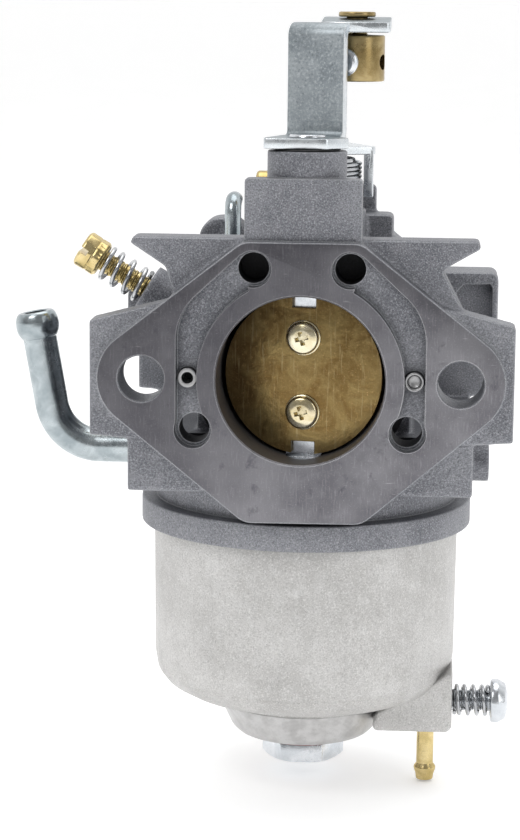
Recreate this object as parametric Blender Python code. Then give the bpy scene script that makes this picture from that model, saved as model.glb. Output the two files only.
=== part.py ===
"""Small-engine float-bowl carburetor, as an assembly of separate solids.

Run it with: blender --background --python part.py

Lengths below are millimetres and are scaled to metres when a mesh is made. The origin lies on the
bore axis in the face of the air-side flange. +Y runs along the bore towards the engine, +Z is up.
"""

import math

import bmesh
import bpy
from mathutils import Matrix, Vector

MM = 0.001
GAP = 0.1  # clearance between pieces that touch, turn or slide on each other

# Flanges and bore
LENGTH = 60.0  # from the air-side face to the engine face
FLANGE_THICK = 8.0
PAD_THICK = 2.2  # the machined pad in front of the cast shoulders
STUD_SPACING = 52.0
STUD_HOLE_R = 3.75
THROAT_R = 13.8
VENTURI_R = 10.5
VENTURI_Y = 29.0
THROTTLE_R = 12.0

# Choke
CHOKE_X = 0.3
CHOKE_Y = 8.7
CHOKE_REST = math.radians(-22.0)  # the lever's turn at rest, in plan
PLATE_REST = math.radians(-11.0)  # the choke plate's turn at rest from square across the bore
SHAFT_R = 3.0
CHOKE_BOSS_R = 6.5
CHOKE_BOSS_TOP = 36.9
LEVER_Z = 37.3  # underside of the choke lever
SHEET = 1.7  # thickness of the lever strip
STRAP_WIDE = 10.2
STRAP_TOP = 57.4
TAB_NEAR = 14.4  # Y of the upper tab's near edge at rest
TAB_FAR = 26.6
TAB_SLOPE = 0.065  # the tab rises this much for its length
CLAMP_X = 7.65  # the cable clamp's upright axis at rest
CLAMP_Y = 22.0
CLAMP_R = 4.7
CABLE_WAY = math.radians(-18.0)  # of the cable hole, in plan

# Throttle
THROTTLE_Y = 47.0
THROTTLE_BOSS_R = 6.6
THROTTLE_BOSS_TOP = 33.4
RETURN_COIL_R = 7.55  # wire centre
RETURN_WIRE_R = 0.38
FINGER_X = 9.3  # centre of the lever's hanging finger, out from the shaft

# Float bowl
BOWL_X = -0.3
BOWL_Y = 31.0
RING_R = 28.8
RING_TOP = -24.4
RING_BOTTOM = -28.9
BOWL_R = 26.6
BOWL_WALL = 1.8
COLUMN_R = 6.6
COLUMN_BOTTOM = -60.0

# Screws with springs
MIXTURE_SEAT = (-27.6, 22.0, 12.2)
MIXTURE_TILT = math.radians(32.0)  # above the horizontal, pointing to -X
DRAIN_Y = 24.0
DRAIN_Z = -59.4
DRAIN_SEAT_X = 26.0
IDLE_SEAT = (-6.0, 56.8, 27.4)
NIPPLE_X = 21.5
NIPPLE_Y = 27.0
NIPPLE_END = -74.8

# Fuel elbow
ELBOW_Y = 26.0
ELBOW_Z = -15.9
ELBOW_R = 3.0
ELBOW_BEND = 8.6  # radius of the bend at the tube's centre
ELBOW_SWEEP = math.radians(80.0)
ELBOW_RISE = 16.3  # straight length after the bend

SMALL_ROUND = 12  # segments of a turned piece up to 5 mm across
ROUND = 18
BIG_ROUND = 40


def clear_scene():
    for obj in list(bpy.data.objects):
        bpy.data.objects.remove(obj)


def material(name, colour, roughness, metallic):
    made = bpy.data.materials.new(name)
    made.use_nodes = True
    shader = made.node_tree.nodes["Principled BSDF"]
    shader.inputs["Base Color"].default_value = (*colour, 1.0)
    shader.inputs["Roughness"].default_value = roughness
    shader.inputs["Metallic"].default_value = metallic
    made.diffuse_color = (*colour, 1.0)
    return made


def link(name, bm, look=None, parent=None, axis=(0.0, 0.0, 0.0)):
    """An object of this mesh, given in world millimetres, with its origin at the point axis."""
    bmesh.ops.remove_doubles(bm, verts=bm.verts, dist=2e-3)
    bmesh.ops.recalc_face_normals(bm, faces=bm.faces)
    bmesh.ops.translate(bm, vec=-Vector(axis), verts=bm.verts)
    bmesh.ops.scale(bm, vec=(MM, MM, MM), verts=bm.verts)
    mesh = bpy.data.meshes.new(name)
    bm.to_mesh(mesh)
    bm.free()
    obj = bpy.data.objects.new(name, mesh)
    bpy.context.scene.collection.objects.link(obj)
    obj.location = Vector(axis) * MM
    if look:
        mesh.materials.append(look)
    if parent:
        obj.parent = parent
        obj.matrix_parent_inverse = Matrix.Translation(-parent.location)
    return obj


def pivot(name, axis):
    """An empty on a joint's axis, which carries the pieces that move together."""
    empty = bpy.data.objects.new(name, None)
    empty.empty_display_size = 0.005
    empty.location = Vector(axis) * MM
    bpy.context.scene.collection.objects.link(empty)
    return empty


def helper(bm):
    """An object of this millimetre mesh that only takes part in a Boolean."""
    bmesh.ops.remove_doubles(bm, verts=bm.verts, dist=2e-3)
    bmesh.ops.dissolve_degenerate(bm, edges=bm.edges, dist=1e-3)
    bmesh.ops.recalc_face_normals(bm, faces=bm.faces)
    mesh = bpy.data.meshes.new("helper")
    bm.to_mesh(mesh)
    bm.free()
    obj = bpy.data.objects.new("helper", mesh)
    bpy.context.scene.collection.objects.link(obj)
    return obj


def combined(base, operation, others):
    """The exact Boolean of one millimetre mesh with each of the others in turn."""
    for other in others:
        first, second = helper(base), helper(other)
        modifier = first.modifiers.new(operation.title(), "BOOLEAN")
        modifier.operation = operation
        modifier.solver = "EXACT"
        modifier.object = second
        bpy.context.view_layer.update()
        graph = bpy.context.evaluated_depsgraph_get()
        base = bmesh.new()
        base.from_mesh(first.evaluated_get(graph).to_mesh())
        bpy.data.objects.remove(first)
        bpy.data.objects.remove(second)
    return base


def joined(base, *others):
    return combined(base, "UNION", others)


def cut(base, *others):
    return combined(base, "DIFFERENCE", others)


# --- shapes, all in millimetres ---------------------------------------------------------------


def frame_along(direction):
    """A rotation that takes +Z to this direction."""
    return Vector((0, 0, 1)).rotation_difference(Vector(direction)).to_matrix().to_4x4()


def placed(bm, at=(0, 0, 0), along=(0, 0, 1)):
    bmesh.ops.transform(bm, matrix=Matrix.Translation(at) @ frame_along(along), verts=bm.verts)
    return bm


def turned(profile, segments=ROUND, at=(0, 0, 0), along=(0, 0, 1)):
    """The solid that a closed (radius, height) outline sweeps about its axis."""
    bm = bmesh.new()
    rings = []
    for radius, height in profile:
        if radius < 1e-6:
            rings.append([bm.verts.new((0, 0, height))] * segments)
            continue
        ring = []
        for step in range(segments):
            turn = 2 * math.pi * step / segments
            ring.append(bm.verts.new((radius * math.cos(turn), radius * math.sin(turn), height)))
        rings.append(ring)
    for lower, upper in zip(rings, rings[1:] + rings[:1]):
        for step in range(segments):
            after = (step + 1) % segments
            corners = [lower[step], lower[after], upper[after], upper[step]]
            different = list(dict.fromkeys(corners))
            if len(different) > 2:
                bm.faces.new(different)
    return placed(bm, at, along)


def ring(inner, outer, low, high):
    """The outline of a plain ring, for turned."""
    return [(inner, low), (outer, low), (outer, high), (inner, high)]


def rod(radius, start, end, segments=ROUND):
    start, end = Vector(start), Vector(end)
    profile = [(0, 0), (radius, 0), (radius, (end - start).length), (0, (end - start).length)]
    return turned(profile, segments, start, end - start)


def prism(outline, low, high, axis="Y"):
    """Extrudes an outline. Its points are (x, z) along Y, (x, y) along Z and (y, z) along X."""
    bm = bmesh.new()
    ends = []
    for height in (low, high):
        ring = []
        for a, b in outline:
            point = {"X": (height, a, b), "Y": (a, height, b), "Z": (a, b, height)}[axis]
            ring.append(bm.verts.new(point))
        ends.append(ring)
    bm.faces.new(ends[0])
    bm.faces.new(ends[1])
    for step in range(len(outline)):
        after = (step + 1) % len(outline)
        bm.faces.new([ends[0][step], ends[0][after], ends[1][after], ends[1][step]])
    return bm


def box(low, high):
    outline = [(low[0], low[1]), (high[0], low[1]), (high[0], high[1]), (low[0], high[1])]
    return prism(outline, low[2], high[2], "Z")


def arc(centre, radius, start, end, steps):
    """Points on an arc, both ends included, with angles in degrees."""
    points = []
    for step in range(steps + 1):
        turn = math.radians(start + (end - start) * step / steps)
        points.append((centre[0] + radius * math.cos(turn), centre[1] + radius * math.sin(turn)))
    return points


def around(discs, steps=6):
    """The outline of a band stretched round discs, given as (x, z, radius) anticlockwise."""
    outline = []
    count = len(discs)
    for index, (x, z, radius) in enumerate(discs):
        tangents = []
        for one, two in ((discs[index - 1], discs[index]), (discs[index], discs[(index + 1) % count])):
            across = math.hypot(two[0] - one[0], two[1] - one[1])
            heading = math.atan2(two[1] - one[1], two[0] - one[0])
            tangents.append(heading - math.acos((one[2] - two[2]) / across))
        start, end = (math.degrees(turn) for turn in tangents)
        while end < start:
            end += 360.0
        outline += arc((x, z), radius, start, end, steps)
    return outline


def rounded_box(low, high, corner, axis="Y"):
    """A block whose outline across this axis has round corners."""
    first, second = {"X": (1, 2), "Y": (0, 2), "Z": (0, 1)}[axis]
    along = 3 - first - second
    a, b, c, d = low[first] + corner, high[first] - corner, low[second] + corner, high[second] - corner
    outline = arc((b, c), corner, -90, 0, 4) + arc((b, d), corner, 0, 90, 4)
    outline += arc((a, d), corner, 90, 180, 4) + arc((a, c), corner, 180, 270, 4)
    return prism(outline, low[along], high[along], axis)


def swept(points, radius, sides, hollow=0.0):
    """A round wire or tube along a chain of points. A tube is open through both ends."""
    bm = bmesh.new()
    points = [Vector(point) for point in points]
    side = Vector((0.137, 0.211, 0.968))
    skins = []
    for size in [radius] + ([hollow] if hollow else []):
        rings = []
        for index, point in enumerate(points):
            ahead = points[min(index + 1, len(points) - 1)] - points[max(index - 1, 0)]
            side = (side - ahead * side.dot(ahead) / ahead.length_squared).normalized()
            other = ahead.normalized().cross(side)
            ring = []
            for step in range(sides):
                turn = 2 * math.pi * step / sides
                offset = side * math.cos(turn) + other * math.sin(turn)
                ring.append(bm.verts.new(point + offset * size))
            rings.append(ring)
        skins.append(rings)
        side = Vector((0.137, 0.211, 0.968))
        for lower, upper in zip(rings, rings[1:]):
            for step in range(sides):
                after = (step + 1) % sides
                bm.faces.new([lower[step], lower[after], upper[after], upper[step]])
    for end in (0, -1):
        if hollow:
            for step in range(sides):
                after = (step + 1) % sides
                outer, inner = skins[0][end], skins[1][end]
                bm.faces.new([outer[step], outer[after], inner[after], inner[step]])
        else:
            bm.faces.new(skins[0][end])
    return bm


def coil(radius, length, turns, per_turn, closed_turns=0.0, wire=0.4):
    """Points of a helix about +Z from height 0. closed_turns at each end lie close together."""
    steps = int(round(turns * per_turn))
    rises = []
    for step in range(steps):
        turn = (step + 0.5) / per_turn
        is_closed = turn < closed_turns or turn > turns - closed_turns
        rises.append(2.15 * wire if is_closed else None)
    shut = sum(rise for rise in rises if rise)
    loose = sum(1 for rise in rises if rise is None)
    open_rise = (length * per_turn - shut) / loose
    height = 0.0
    points = [Vector((radius, 0, 0))]
    for step, rise in enumerate(rises):
        height += (open_rise if rise is None else rise) / per_turn
        turn = 2 * math.pi * (step + 1) / per_turn
        points.append(Vector((radius * math.cos(turn), radius * math.sin(turn), height)))
    return points


def moved(points, at, along):
    matrix = Matrix.Translation(at) @ frame_along(along)
    return [matrix @ point for point in points]


def turn_about(bm, centre, angle):
    """Turns a mesh about the vertical line through centre."""
    spin = Matrix.Rotation(angle, 4, "Z")
    matrix = Matrix.Translation((*centre, 0)) @ spin @ Matrix.Translation((-centre[0], -centre[1], 0))
    bmesh.ops.transform(bm, matrix=matrix, verts=bm.verts)
    return bm


# --- body -------------------------------------------------------------------------------------


def flange_outline(ear=25.0):
    """The machined face: a lozenge with round ears and flattened top and bottom."""
    top, bottom = [(8.2, 18.5, 4.1), (-8.2, 18.5, 4.1)], [(-7.6, -19.6, 4.0), (8.8, -19.4, 4.1)]
    return around([(ear, 0.0, 8.3), *top, (-ear, 0.0, 8.3), *bottom])


def ear_outline(side, reach):
    """The cast shoulder behind one ear, seen from the air side."""
    low = -9.8
    outline = [(16.0, low - 1.5), (reach - 1.2, low), (reach, low + 1.2), (reach, 7.8), (reach - 1.2, 9.2)]
    outline += [(20.0, 13.0), (16.0, 13.0)]
    return [(side * x, z) for x, z in outline]


def wing_outline():
    """The pointed top ledge: flat above, sloping up to both tips below."""
    tips = arc((28.3 - 1.3, 21.5), 1.3, -50, 90, 4)
    right = [(16.0, 8.0), (22.9, 17.5)] + tips
    return right + [(-x, z) for x, z in reversed(right)]


def body_lumps():
    lumps = []
    shoulders = [(PAD_THICK - 0.1, FLANGE_THICK, 34.6), (LENGTH - FLANGE_THICK, LENGTH - 0.8, 32.4)]
    for start, end, reach in shoulders:
        for side in (-1, 1):
            lumps.append(prism(ear_outline(side, reach), start, end))
    lumps.append(prism(flange_outline(24.4), LENGTH - FLANGE_THICK + 0.2, LENGTH))
    lumps.append(rod(18.2, (0, 1.0, 0), (0, LENGTH - 1, 0), BIG_ROUND))
    lumps.append(prism(wing_outline(), 3.6, 9.6))
    lumps.append(box((-9.3, 0.9, 12), (9.5, 5.6, 32.6)))
    lumps.append(rod(6.8, (CHOKE_X, CHOKE_Y, 12), (CHOKE_X, CHOKE_Y, 31.4)))
    lumps.append(rod(CHOKE_BOSS_R, (CHOKE_X, CHOKE_Y, 30), (CHOKE_X, CHOKE_Y, CHOKE_BOSS_TOP)))
    lumps.append(box((-28.5, 3.4, -19.2), (28.2, 54.0, -10.4)))
    lumps.append(box((-17.9, 12, -12), (17.9, 54.0, 5)))
    lumps.append(rod(26.2, (BOWL_X, BOWL_Y, -26), (BOWL_X, BOWL_Y, -18), BIG_ROUND))
    lumps.append(rod(RING_R, (BOWL_X, BOWL_Y, RING_BOTTOM), (BOWL_X, BOWL_Y, RING_TOP), BIG_ROUND))
    lumps.append(rounded_box((-19.4, 30.0, 8), (-11.0, 38.0, 23.6), 3.6))
    lumps.append(box((-16.0, 21.0, 8), (-9.0, 31.0, 20.4)))
    lumps.append(rounded_box((-31.2, 25.6, 5.4), (-14.0, 36.0, 12.0), 1.4))
    lumps.append(rounded_box((19.0, 24.0, 5.6), (31.9, 34.0, 15.4), 2.6))
    lumps.append(box((12.0, 24.5, -4.0), (20.5, 33.5, 12.0)))
    lumps.append(rod(3.1, (20.0, 24.0, -17.1), (31.3, 24.0, -17.1)))
    lumps.append(rod(8.6, (CHOKE_X, THROTTLE_Y, 12), (CHOKE_X, THROTTLE_Y, 24.3)))
    lumps.append(rod(THROTTLE_BOSS_R, (CHOKE_X, THROTTLE_Y, 20), (CHOKE_X, THROTTLE_Y, THROTTLE_BOSS_TOP)))
    lumps.append(rounded_box((5.5, 49.6, 12.0), (13.8, 57.0, 22.9), 1.0))
    lumps.append(rounded_box((5.6, 56.8, 20.0), (10.5, 59.3, 27.7), 1.0))
    x, y, z = IDLE_SEAT
    lumps.append(rounded_box((x, y - 2.0, 18.0), (x + 3.6, y + 2.4, z + 1.9), 0.9, "X"))
    seat = Vector(MIXTURE_SEAT)
    inward = mixture_axis() * -1
    lumps.append(rod(4.3, seat, seat + inward * 16))
    lumps.append(rod(COLUMN_R, (BOWL_X, BOWL_Y, COLUMN_BOTTOM), (BOWL_X, BOWL_Y, -16)))
    for side in (-1, 1):
        centre = BOWL_X + side * 6.6
        lumps.append(box((centre - 1.4, 49.4, -30.6), (centre + 1.4, 53.6, -18)))
    return lumps


def channel(side):
    """A jet channel sunk in the air-side face, from the upper hole round to the lower one."""
    inner = arc((0, 0), 16.9, 56, -17, 10)
    outer = [(20.2, -8.4), (20.2, 8.6), (18.9, 11.6), (11.0, 19.5)]
    return prism([(side * x, z) for x, z in inner + outer], -1.0, 2.4)


def bore_profile():
    """The air way from face to face: throat, venturi and throttle bore."""
    throat = [(0, -1), (THROAT_R, -1), (THROAT_R, 15), (12.6, 20)]
    venturi = [(VENTURI_R, VENTURI_Y - 2), (VENTURI_R, VENTURI_Y)]
    throttle = [(THROTTLE_R, 36), (THROTTLE_R, LENGTH + 1), (0, LENGTH + 1)]
    return throat + venturi + throttle


def body_cuts():
    cuts = [turned(bore_profile(), BIG_ROUND, (0, 0, 0), (0, 1, 0))]
    for side in (-1, 1):
        x = side * STUD_SPACING / 2
        cuts.append(rod(STUD_HOLE_R, (x, -1, 0), (x, LENGTH + 1, 0)))
        cuts.append(channel(side))
        cuts.append(rod(2.5, (side * 7.85, -1, 18.2), (side * 7.85, 9.0, 18.2), SMALL_ROUND))
        cuts.append(rod(2.5, (side * 17.4, -1, -8.3), (side * 17.4, 9.0, -8.3), SMALL_ROUND))
        cuts.append(rod(1.7, (side * 18.5, 1, 0.1), (side * 18.5, 6.4, 0.1), SMALL_ROUND))
        centre = BOWL_X + side * 6.6
        cuts.append(rod(1.1, (centre - 3, 51.5, -27.4), (centre + 3, 51.5, -27.4), SMALL_ROUND))
    running = SHAFT_R + 0.05
    cuts.append(rod(running, (CHOKE_X, CHOKE_Y, -17.0), (CHOKE_X, CHOKE_Y, 40)))
    cuts.append(rod(running, (CHOKE_X, THROTTLE_Y, -17.0), (CHOKE_X, THROTTLE_Y, 40)))
    chamber_roof = [(8.6, -33), (23.6, -33), (23.6, -21.5), (8.6, -21.5)]
    cuts.append(turned(chamber_roof, BIG_ROUND, (BOWL_X, BOWL_Y, 0)))
    cuts.append(rod(3.2, (BOWL_X, BOWL_Y, -61), (BOWL_X, BOWL_Y, -9)))
    seat = Vector(MIXTURE_SEAT)
    axis = mixture_axis()
    cuts.append(rod(1.95, seat + axis, seat - axis * 14, SMALL_ROUND))
    x, y, z = IDLE_SEAT
    cuts.append(rod(1.7, (x - 1, y, z), (x + 5, y, z), SMALL_ROUND))
    cuts.append(rod(ELBOW_R, (-40, ELBOW_Y, ELBOW_Z), (-20.0, ELBOW_Y, ELBOW_Z)))
    cuts.append(rod(1.5, (-13.2, 26, 8), (-13.2, 26, 22), SMALL_ROUND))
    cuts.append(rod(2.5, (BOWL_X, 43.5, -24), (BOWL_X, 43.5, -16.5), SMALL_ROUND))
    cuts.append(rod(2.0, (12.0, 33.0, -24), (12.0, 33.0, -16.5), SMALL_ROUND))
    cuts.append(rod(2.4, (33, 24.0, -17.1), (28.6, 24.0, -17.1), SMALL_ROUND))
    return cuts


def make_body(looks):
    solid = joined(prism(flange_outline(), 0.0, PAD_THICK), *body_lumps())
    link("body", cut(solid, *body_cuts()), looks["casting"])


# --- choke ------------------------------------------------------------------------------------


def half_shaft(name, y, bottom, top, rivet_r, flat_half, angle, look, parent):
    """A vertical shaft with a flat for its butterfly plate and a riveted upper end."""
    head = top + 0.5
    profile = [(0, bottom), (SHAFT_R, bottom), (SHAFT_R, CHOKE_BOSS_TOP if y < 20 else THROTTLE_BOSS_TOP)]
    shoulder = profile[-1][1]
    profile += [(2.4, shoulder), (2.4, top + 0.05), (rivet_r, top + 0.05), (rivet_r - 0.3, head), (0, head)]
    flat = box((CHOKE_X - 4, y - 4, -flat_half), (CHOKE_X + 4, y + 0.05, flat_half))
    solid = cut(turned(profile, ROUND, (CHOKE_X, y, 0)), turn_about(flat, (CHOKE_X, y), angle))
    link(name, solid, look, parent, (CHOKE_X, y, 0))


def butterfly(name, y, radius, notch, thick, angle, look, parent):
    """A round plate on the air side of its shaft's flat, notched at top and bottom."""
    outline = []
    wide = math.degrees(math.asin(2.0 / radius))
    for middle in (0, 180):
        outline += arc((CHOKE_X, 0), radius, middle - 90 + wide, middle + 90 - wide, 20)
        sign = 1 if middle == 0 else -1
        inward = radius - notch
        outline += [(CHOKE_X + 2.0 * sign, inward * sign), (CHOKE_X - 2.0 * sign, inward * sign)]
    bm = prism(outline, y - thick - 0.05, y - 0.05)
    link(name, turn_about(bm, (CHOKE_X, y), angle), look, parent, (CHOKE_X, y, 0))


def plate_screw(name, y, z, angle, look, parent):
    """A pan head with a cross recess, seated on the plate."""
    front = y - 1.05
    head = [(0, 0), (1.1, 0), (1.1, 0.05), (2.5, 0.05), (2.5, 0.7), (1.9, 1.35), (0.9, 1.6), (0, 1.6)]
    cross = []
    for wide, tall in ((1.5, 0.4), (0.4, 1.5)):
        cross.append(box((CHOKE_X - wide, front - 3, z - tall), (CHOKE_X + wide, front - 0.9, z + tall)))
    solid = cut(turned(head, ROUND, (CHOKE_X, front, z), (0, -1, 0)), *cross)
    link(name, turn_about(solid, (CHOKE_X, y), angle), look, parent, (CHOKE_X, y, 0))


def bent_strip(line, thick):
    """The (y, z) outline of a strip of even thickness whose lower face follows this line."""
    upper = []
    for index, (y, z) in enumerate(line):
        before = Vector(line[max(index - 1, 0)])
        after = Vector(line[min(index + 1, len(line) - 1)])
        along = (after - before).normalized()
        upper.append((y - along.y * thick, z + along.x * thick))
    return list(line) + upper[::-1]


def upper_tab():
    """The flat tab that carries the cable clamp, rising a little toward the engine."""
    outline = [(6.0, TAB_NEAR), (13.4, TAB_NEAR), (13.4, TAB_FAR - 1.0), (12.4, TAB_FAR)]
    outline += [(2.9, TAB_FAR), (1.9, TAB_FAR - 1.0), (1.9, TAB_NEAR + 1.9)]
    bm = prism(outline, STRAP_TOP - SHEET + 0.1, STRAP_TOP + 0.1, "Z")
    for vert in bm.verts:
        vert.co.z += TAB_SLOPE * (vert.co.y - TAB_NEAR)
    return bm


def choke_lever_bmesh():
    """Flat foot on the shaft, strap standing at its rear edge, and a tab bent back on top."""
    x, y0 = CHOKE_X - 1.3, CHOKE_Y
    foot = [(-4.7, -6.8), (5.0, -3.3), (6.6, 2.1), (3.8, 4.0), (-6.4, 4.0), (-5.8, -4.4)]
    plate = prism([(CHOKE_X + a, y0 + b) for a, b in foot], LEVER_Z, LEVER_Z + SHEET, "Z")
    foot_bend = arc((y0 + 4.6, LEVER_Z + 2.6), 2.6, -90, 0, 4)
    tab_bend = arc((y0 + 7.8, STRAP_TOP - SHEET - 0.6), 0.6, 180, 90, 4)
    line = [(y0 + 2.0, LEVER_Z)] + foot_bend + tab_bend + [(y0 + 9.4, STRAP_TOP - SHEET)]
    outline = bent_strip(line, SHEET)
    strap = prism(outline, x - STRAP_WIDE / 2, x + STRAP_WIDE / 2, "X")
    return joined(turn_about(joined(plate, strap), (CHOKE_X, CHOKE_Y), CHOKE_REST), upper_tab())


def make_choke(looks):
    axis = (CHOKE_X, CHOKE_Y, 0)
    choke = pivot("choke", axis)
    top = LEVER_Z + SHEET
    half_shaft("choke_shaft", CHOKE_Y, -16.4, top, 3.05, THROAT_R + 0.2, PLATE_REST, looks["zinc"], choke)
    butterfly("choke_plate", CHOKE_Y, THROAT_R - 0.45, 2.2, 1.0, PLATE_REST, looks["gold"], choke)
    for name, z in (("choke_plate_screw_upper", 6.2), ("choke_plate_screw_lower", -6.2)):
        plate_screw(name, CHOKE_Y, z, PLATE_REST, looks["chromate"], choke)
    shaft_hole = rod(2.45, (CHOKE_X, CHOKE_Y, LEVER_Z - 2), (CHOKE_X, CHOKE_Y, top + 2))
    clamp_hole = rod(1.9, (CLAMP_X, CLAMP_Y, STRAP_TOP - 5), (CLAMP_X, CLAMP_Y, STRAP_TOP + 3))
    lever = cut(choke_lever_bmesh(), shaft_hole, clamp_hole)
    link("choke_lever", lever, looks["zinc"], choke, axis)
    washer = ring(3.1, 5.4, CHOKE_BOSS_TOP + GAP, LEVER_Z - GAP)
    link("choke_washer", turned(washer, ROUND, (CHOKE_X, CHOKE_Y, 0)), looks["felt"])
    make_clamp(looks, choke)


def make_clamp(looks, choke):
    x, y = CLAMP_X, CLAMP_Y
    clamp = pivot("cable_clamp", (x, y, 0))
    clamp.parent = choke
    clamp.matrix_parent_inverse = Matrix.Translation(-choke.location)
    under = STRAP_TOP - SHEET - 0.3
    seat = STRAP_TOP + 0.9
    low = under - 7.7
    head = seat + 0.85
    profile = [(0, low), (CLAMP_R - 0.5, low), (CLAMP_R, low + 0.5), (CLAMP_R, under - 0.4)]
    profile += [(CLAMP_R - 0.4, under), (1.7, under), (1.7, seat), (3.1, seat), (3.1, head), (0, head)]
    middle = low + 3.2
    across = Vector((math.cos(CABLE_WAY), math.sin(CABLE_WAY), 0))
    thread = Vector((-across.y, across.x, 0)) * -1
    centre = Vector((x, y, middle))
    cable_hole = rod(1.3, centre - across * 9, centre + across * 9, SMALL_ROUND)
    screw_hole = rod(1.6, centre + thread * 0.6, centre + thread * 9, SMALL_ROUND)
    swivel = cut(turned(profile, ROUND, (x, y, 0)), cable_hole, screw_hole)
    link("cable_clamp_swivel", swivel, looks["brass"], clamp, (x, y, 0))
    screw = [(0, 1.6), (1.5, 1.6), (1.5, CLAMP_R + 0.2), (2.3, CLAMP_R + 0.2)]
    screw += [(2.3, CLAMP_R + 1.2), (1.7, CLAMP_R + 1.7), (0, CLAMP_R + 1.7)]
    solid = turned(screw, SMALL_ROUND, (x, y, middle), thread)
    link("cable_clamp_screw", solid, looks["zinc"], clamp, (x, y, middle))


# --- throttle ---------------------------------------------------------------------------------


def make_throttle(looks):
    axis = (CHOKE_X, THROTTLE_Y, 0)
    throttle = pivot("throttle", axis)
    rest = math.radians(-6.0)
    low = THROTTLE_BOSS_TOP + 0.6
    top = low + 1.4
    half_shaft("throttle_shaft", THROTTLE_Y, -16.4, top, 2.8, THROTTLE_R + 0.2, rest, looks["zinc"], throttle)
    butterfly("throttle_plate", THROTTLE_Y, THROTTLE_R - 0.4, 0.6, 1.0, rest, looks["brass"], throttle)
    for name, z in (("throttle_plate_screw_upper", 5.4), ("throttle_plate_screw_lower", -5.4)):
        plate_screw(name, THROTTLE_Y, z, rest, looks["chromate"], throttle)
    x = CHOKE_X
    ears = [(x + 8.9, THROTTLE_Y - 0.8, 1.3), (x - 1.5, THROTTLE_Y + 17, 3.6)]
    outline = around([(x, THROTTLE_Y, 5.4), *ears], 6)
    finger = box((FINGER_X - 0.8, THROTTLE_Y - 2.0, 26.4), (FINGER_X + 0.9, THROTTLE_Y + 0.9, low + 0.7))
    stop = box((x, THROTTLE_Y + 8.6, 25.2), (x + 1.5, THROTTLE_Y + 10.7, low + 0.7))
    shaft_hole = rod(2.45, (x, THROTTLE_Y, low - 2), (x, THROTTLE_Y, top + 2))
    rod_hole = rod(1.5, (x - 1.5, THROTTLE_Y + 17, low - 2), (x - 1.5, THROTTLE_Y + 17, top + 2), SMALL_ROUND)
    lever = cut(joined(prism(outline, low, top, "Z"), finger, stop), shaft_hole, rod_hole)
    link("throttle_lever", lever, looks["zinc"], throttle, axis)
    washer = ring(3.1, 5.2, THROTTLE_BOSS_TOP + GAP, low - GAP)
    link("throttle_washer", turned(washer, ROUND, (x, THROTTLE_Y, 0)), looks["felt"])
    points = moved(coil(RETURN_COIL_R, 8.2, 9.5, 10), (x, THROTTLE_Y, 24.8), (0, 0, 1))
    link("throttle_return_spring", swept(points, RETURN_WIRE_R, 4), looks["spring"])


# --- screws with springs ----------------------------------------------------------------------


def mixture_axis():
    """Out of the body, along the mixture screw."""
    return Vector((-math.cos(MIXTURE_TILT), 0, math.sin(MIXTURE_TILT)))


def slotted_screw(name, seat, axis, parts, slot, look):
    """A screw turned to a profile of (radius, height) out of its seat, with a slot across its head."""
    top = parts[-1][1]
    across = placed(box((-slot, -9, top - 1.6), (slot, 9, top + 1)), seat, axis)
    link(name, cut(turned(parts, ROUND, seat, axis), across), look, None, seat)


def make_mixture_screw(looks):
    seat = Vector(MIXTURE_SEAT)
    axis = mixture_axis()
    parts = [(0, -13.5), (0.7, -11.0), (1.85, -7.5), (1.85, 8.9), (3.2, 8.9), (3.2, 12.6)]
    parts += [(2.8, 13.0), (0, 13.0)]
    slotted_screw("mixture_screw", seat, axis, parts, 0.5, looks["brass"])
    points = moved(coil(2.75, 7.8, 5.0, 10, 1.0, 0.42), seat + axis * 0.52, axis)
    link("mixture_screw_spring", swept(points, 0.4, 4), looks["spring"])


def make_idle_screw(looks):
    seat = Vector(IDLE_SEAT)
    axis = Vector((-1, 0, 0))
    parts = [(0, -6.1), (1.1, -6.1), (1.6, -5.5), (1.6, 3.2), (2.7, 3.2), (2.7, 5.0), (2.3, 5.4), (0, 5.4)]
    slotted_screw("idle_speed_screw", seat, axis, parts, 0.45, looks["brass"])
    points = moved(coil(2.25, 2.1, 2.5, 10), seat + axis * 0.55, axis)
    link("idle_speed_spring", swept(points, 0.4, 4), looks["spring"])


def make_drain(looks):
    seat = Vector((DRAIN_SEAT_X, DRAIN_Y, DRAIN_Z))
    axis = Vector((1, 0, 0))
    parts = [(0, -9.5), (1.9, -7.6), (1.9, 6.8), (3.8, 6.8), (3.8, 8.2), (3.1, 9.3), (1.6, 9.7), (0, 9.7)]
    slotted_screw("drain_screw", seat, axis, parts, 0.5, looks["zinc"])
    points = moved(coil(2.4, 5.8, 5.6, 10, 0.8, 0.42), seat + axis * 0.5, axis)
    link("drain_screw_spring", swept(points, 0.4, 4), looks["spring"])
    low = NIPPLE_END
    outer = [(0.9, low), (1.6, low), (1.75, low + 1.4), (1.95, low + 2.2), (1.5, low + 3.0)]
    outer += [(1.5, -62.6), (0.9, -62.6)]
    link("drain_nipple", turned(outer, ROUND, (NIPPLE_X, NIPPLE_Y, 0)), looks["brass"])


# --- fuel side --------------------------------------------------------------------------------


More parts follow.
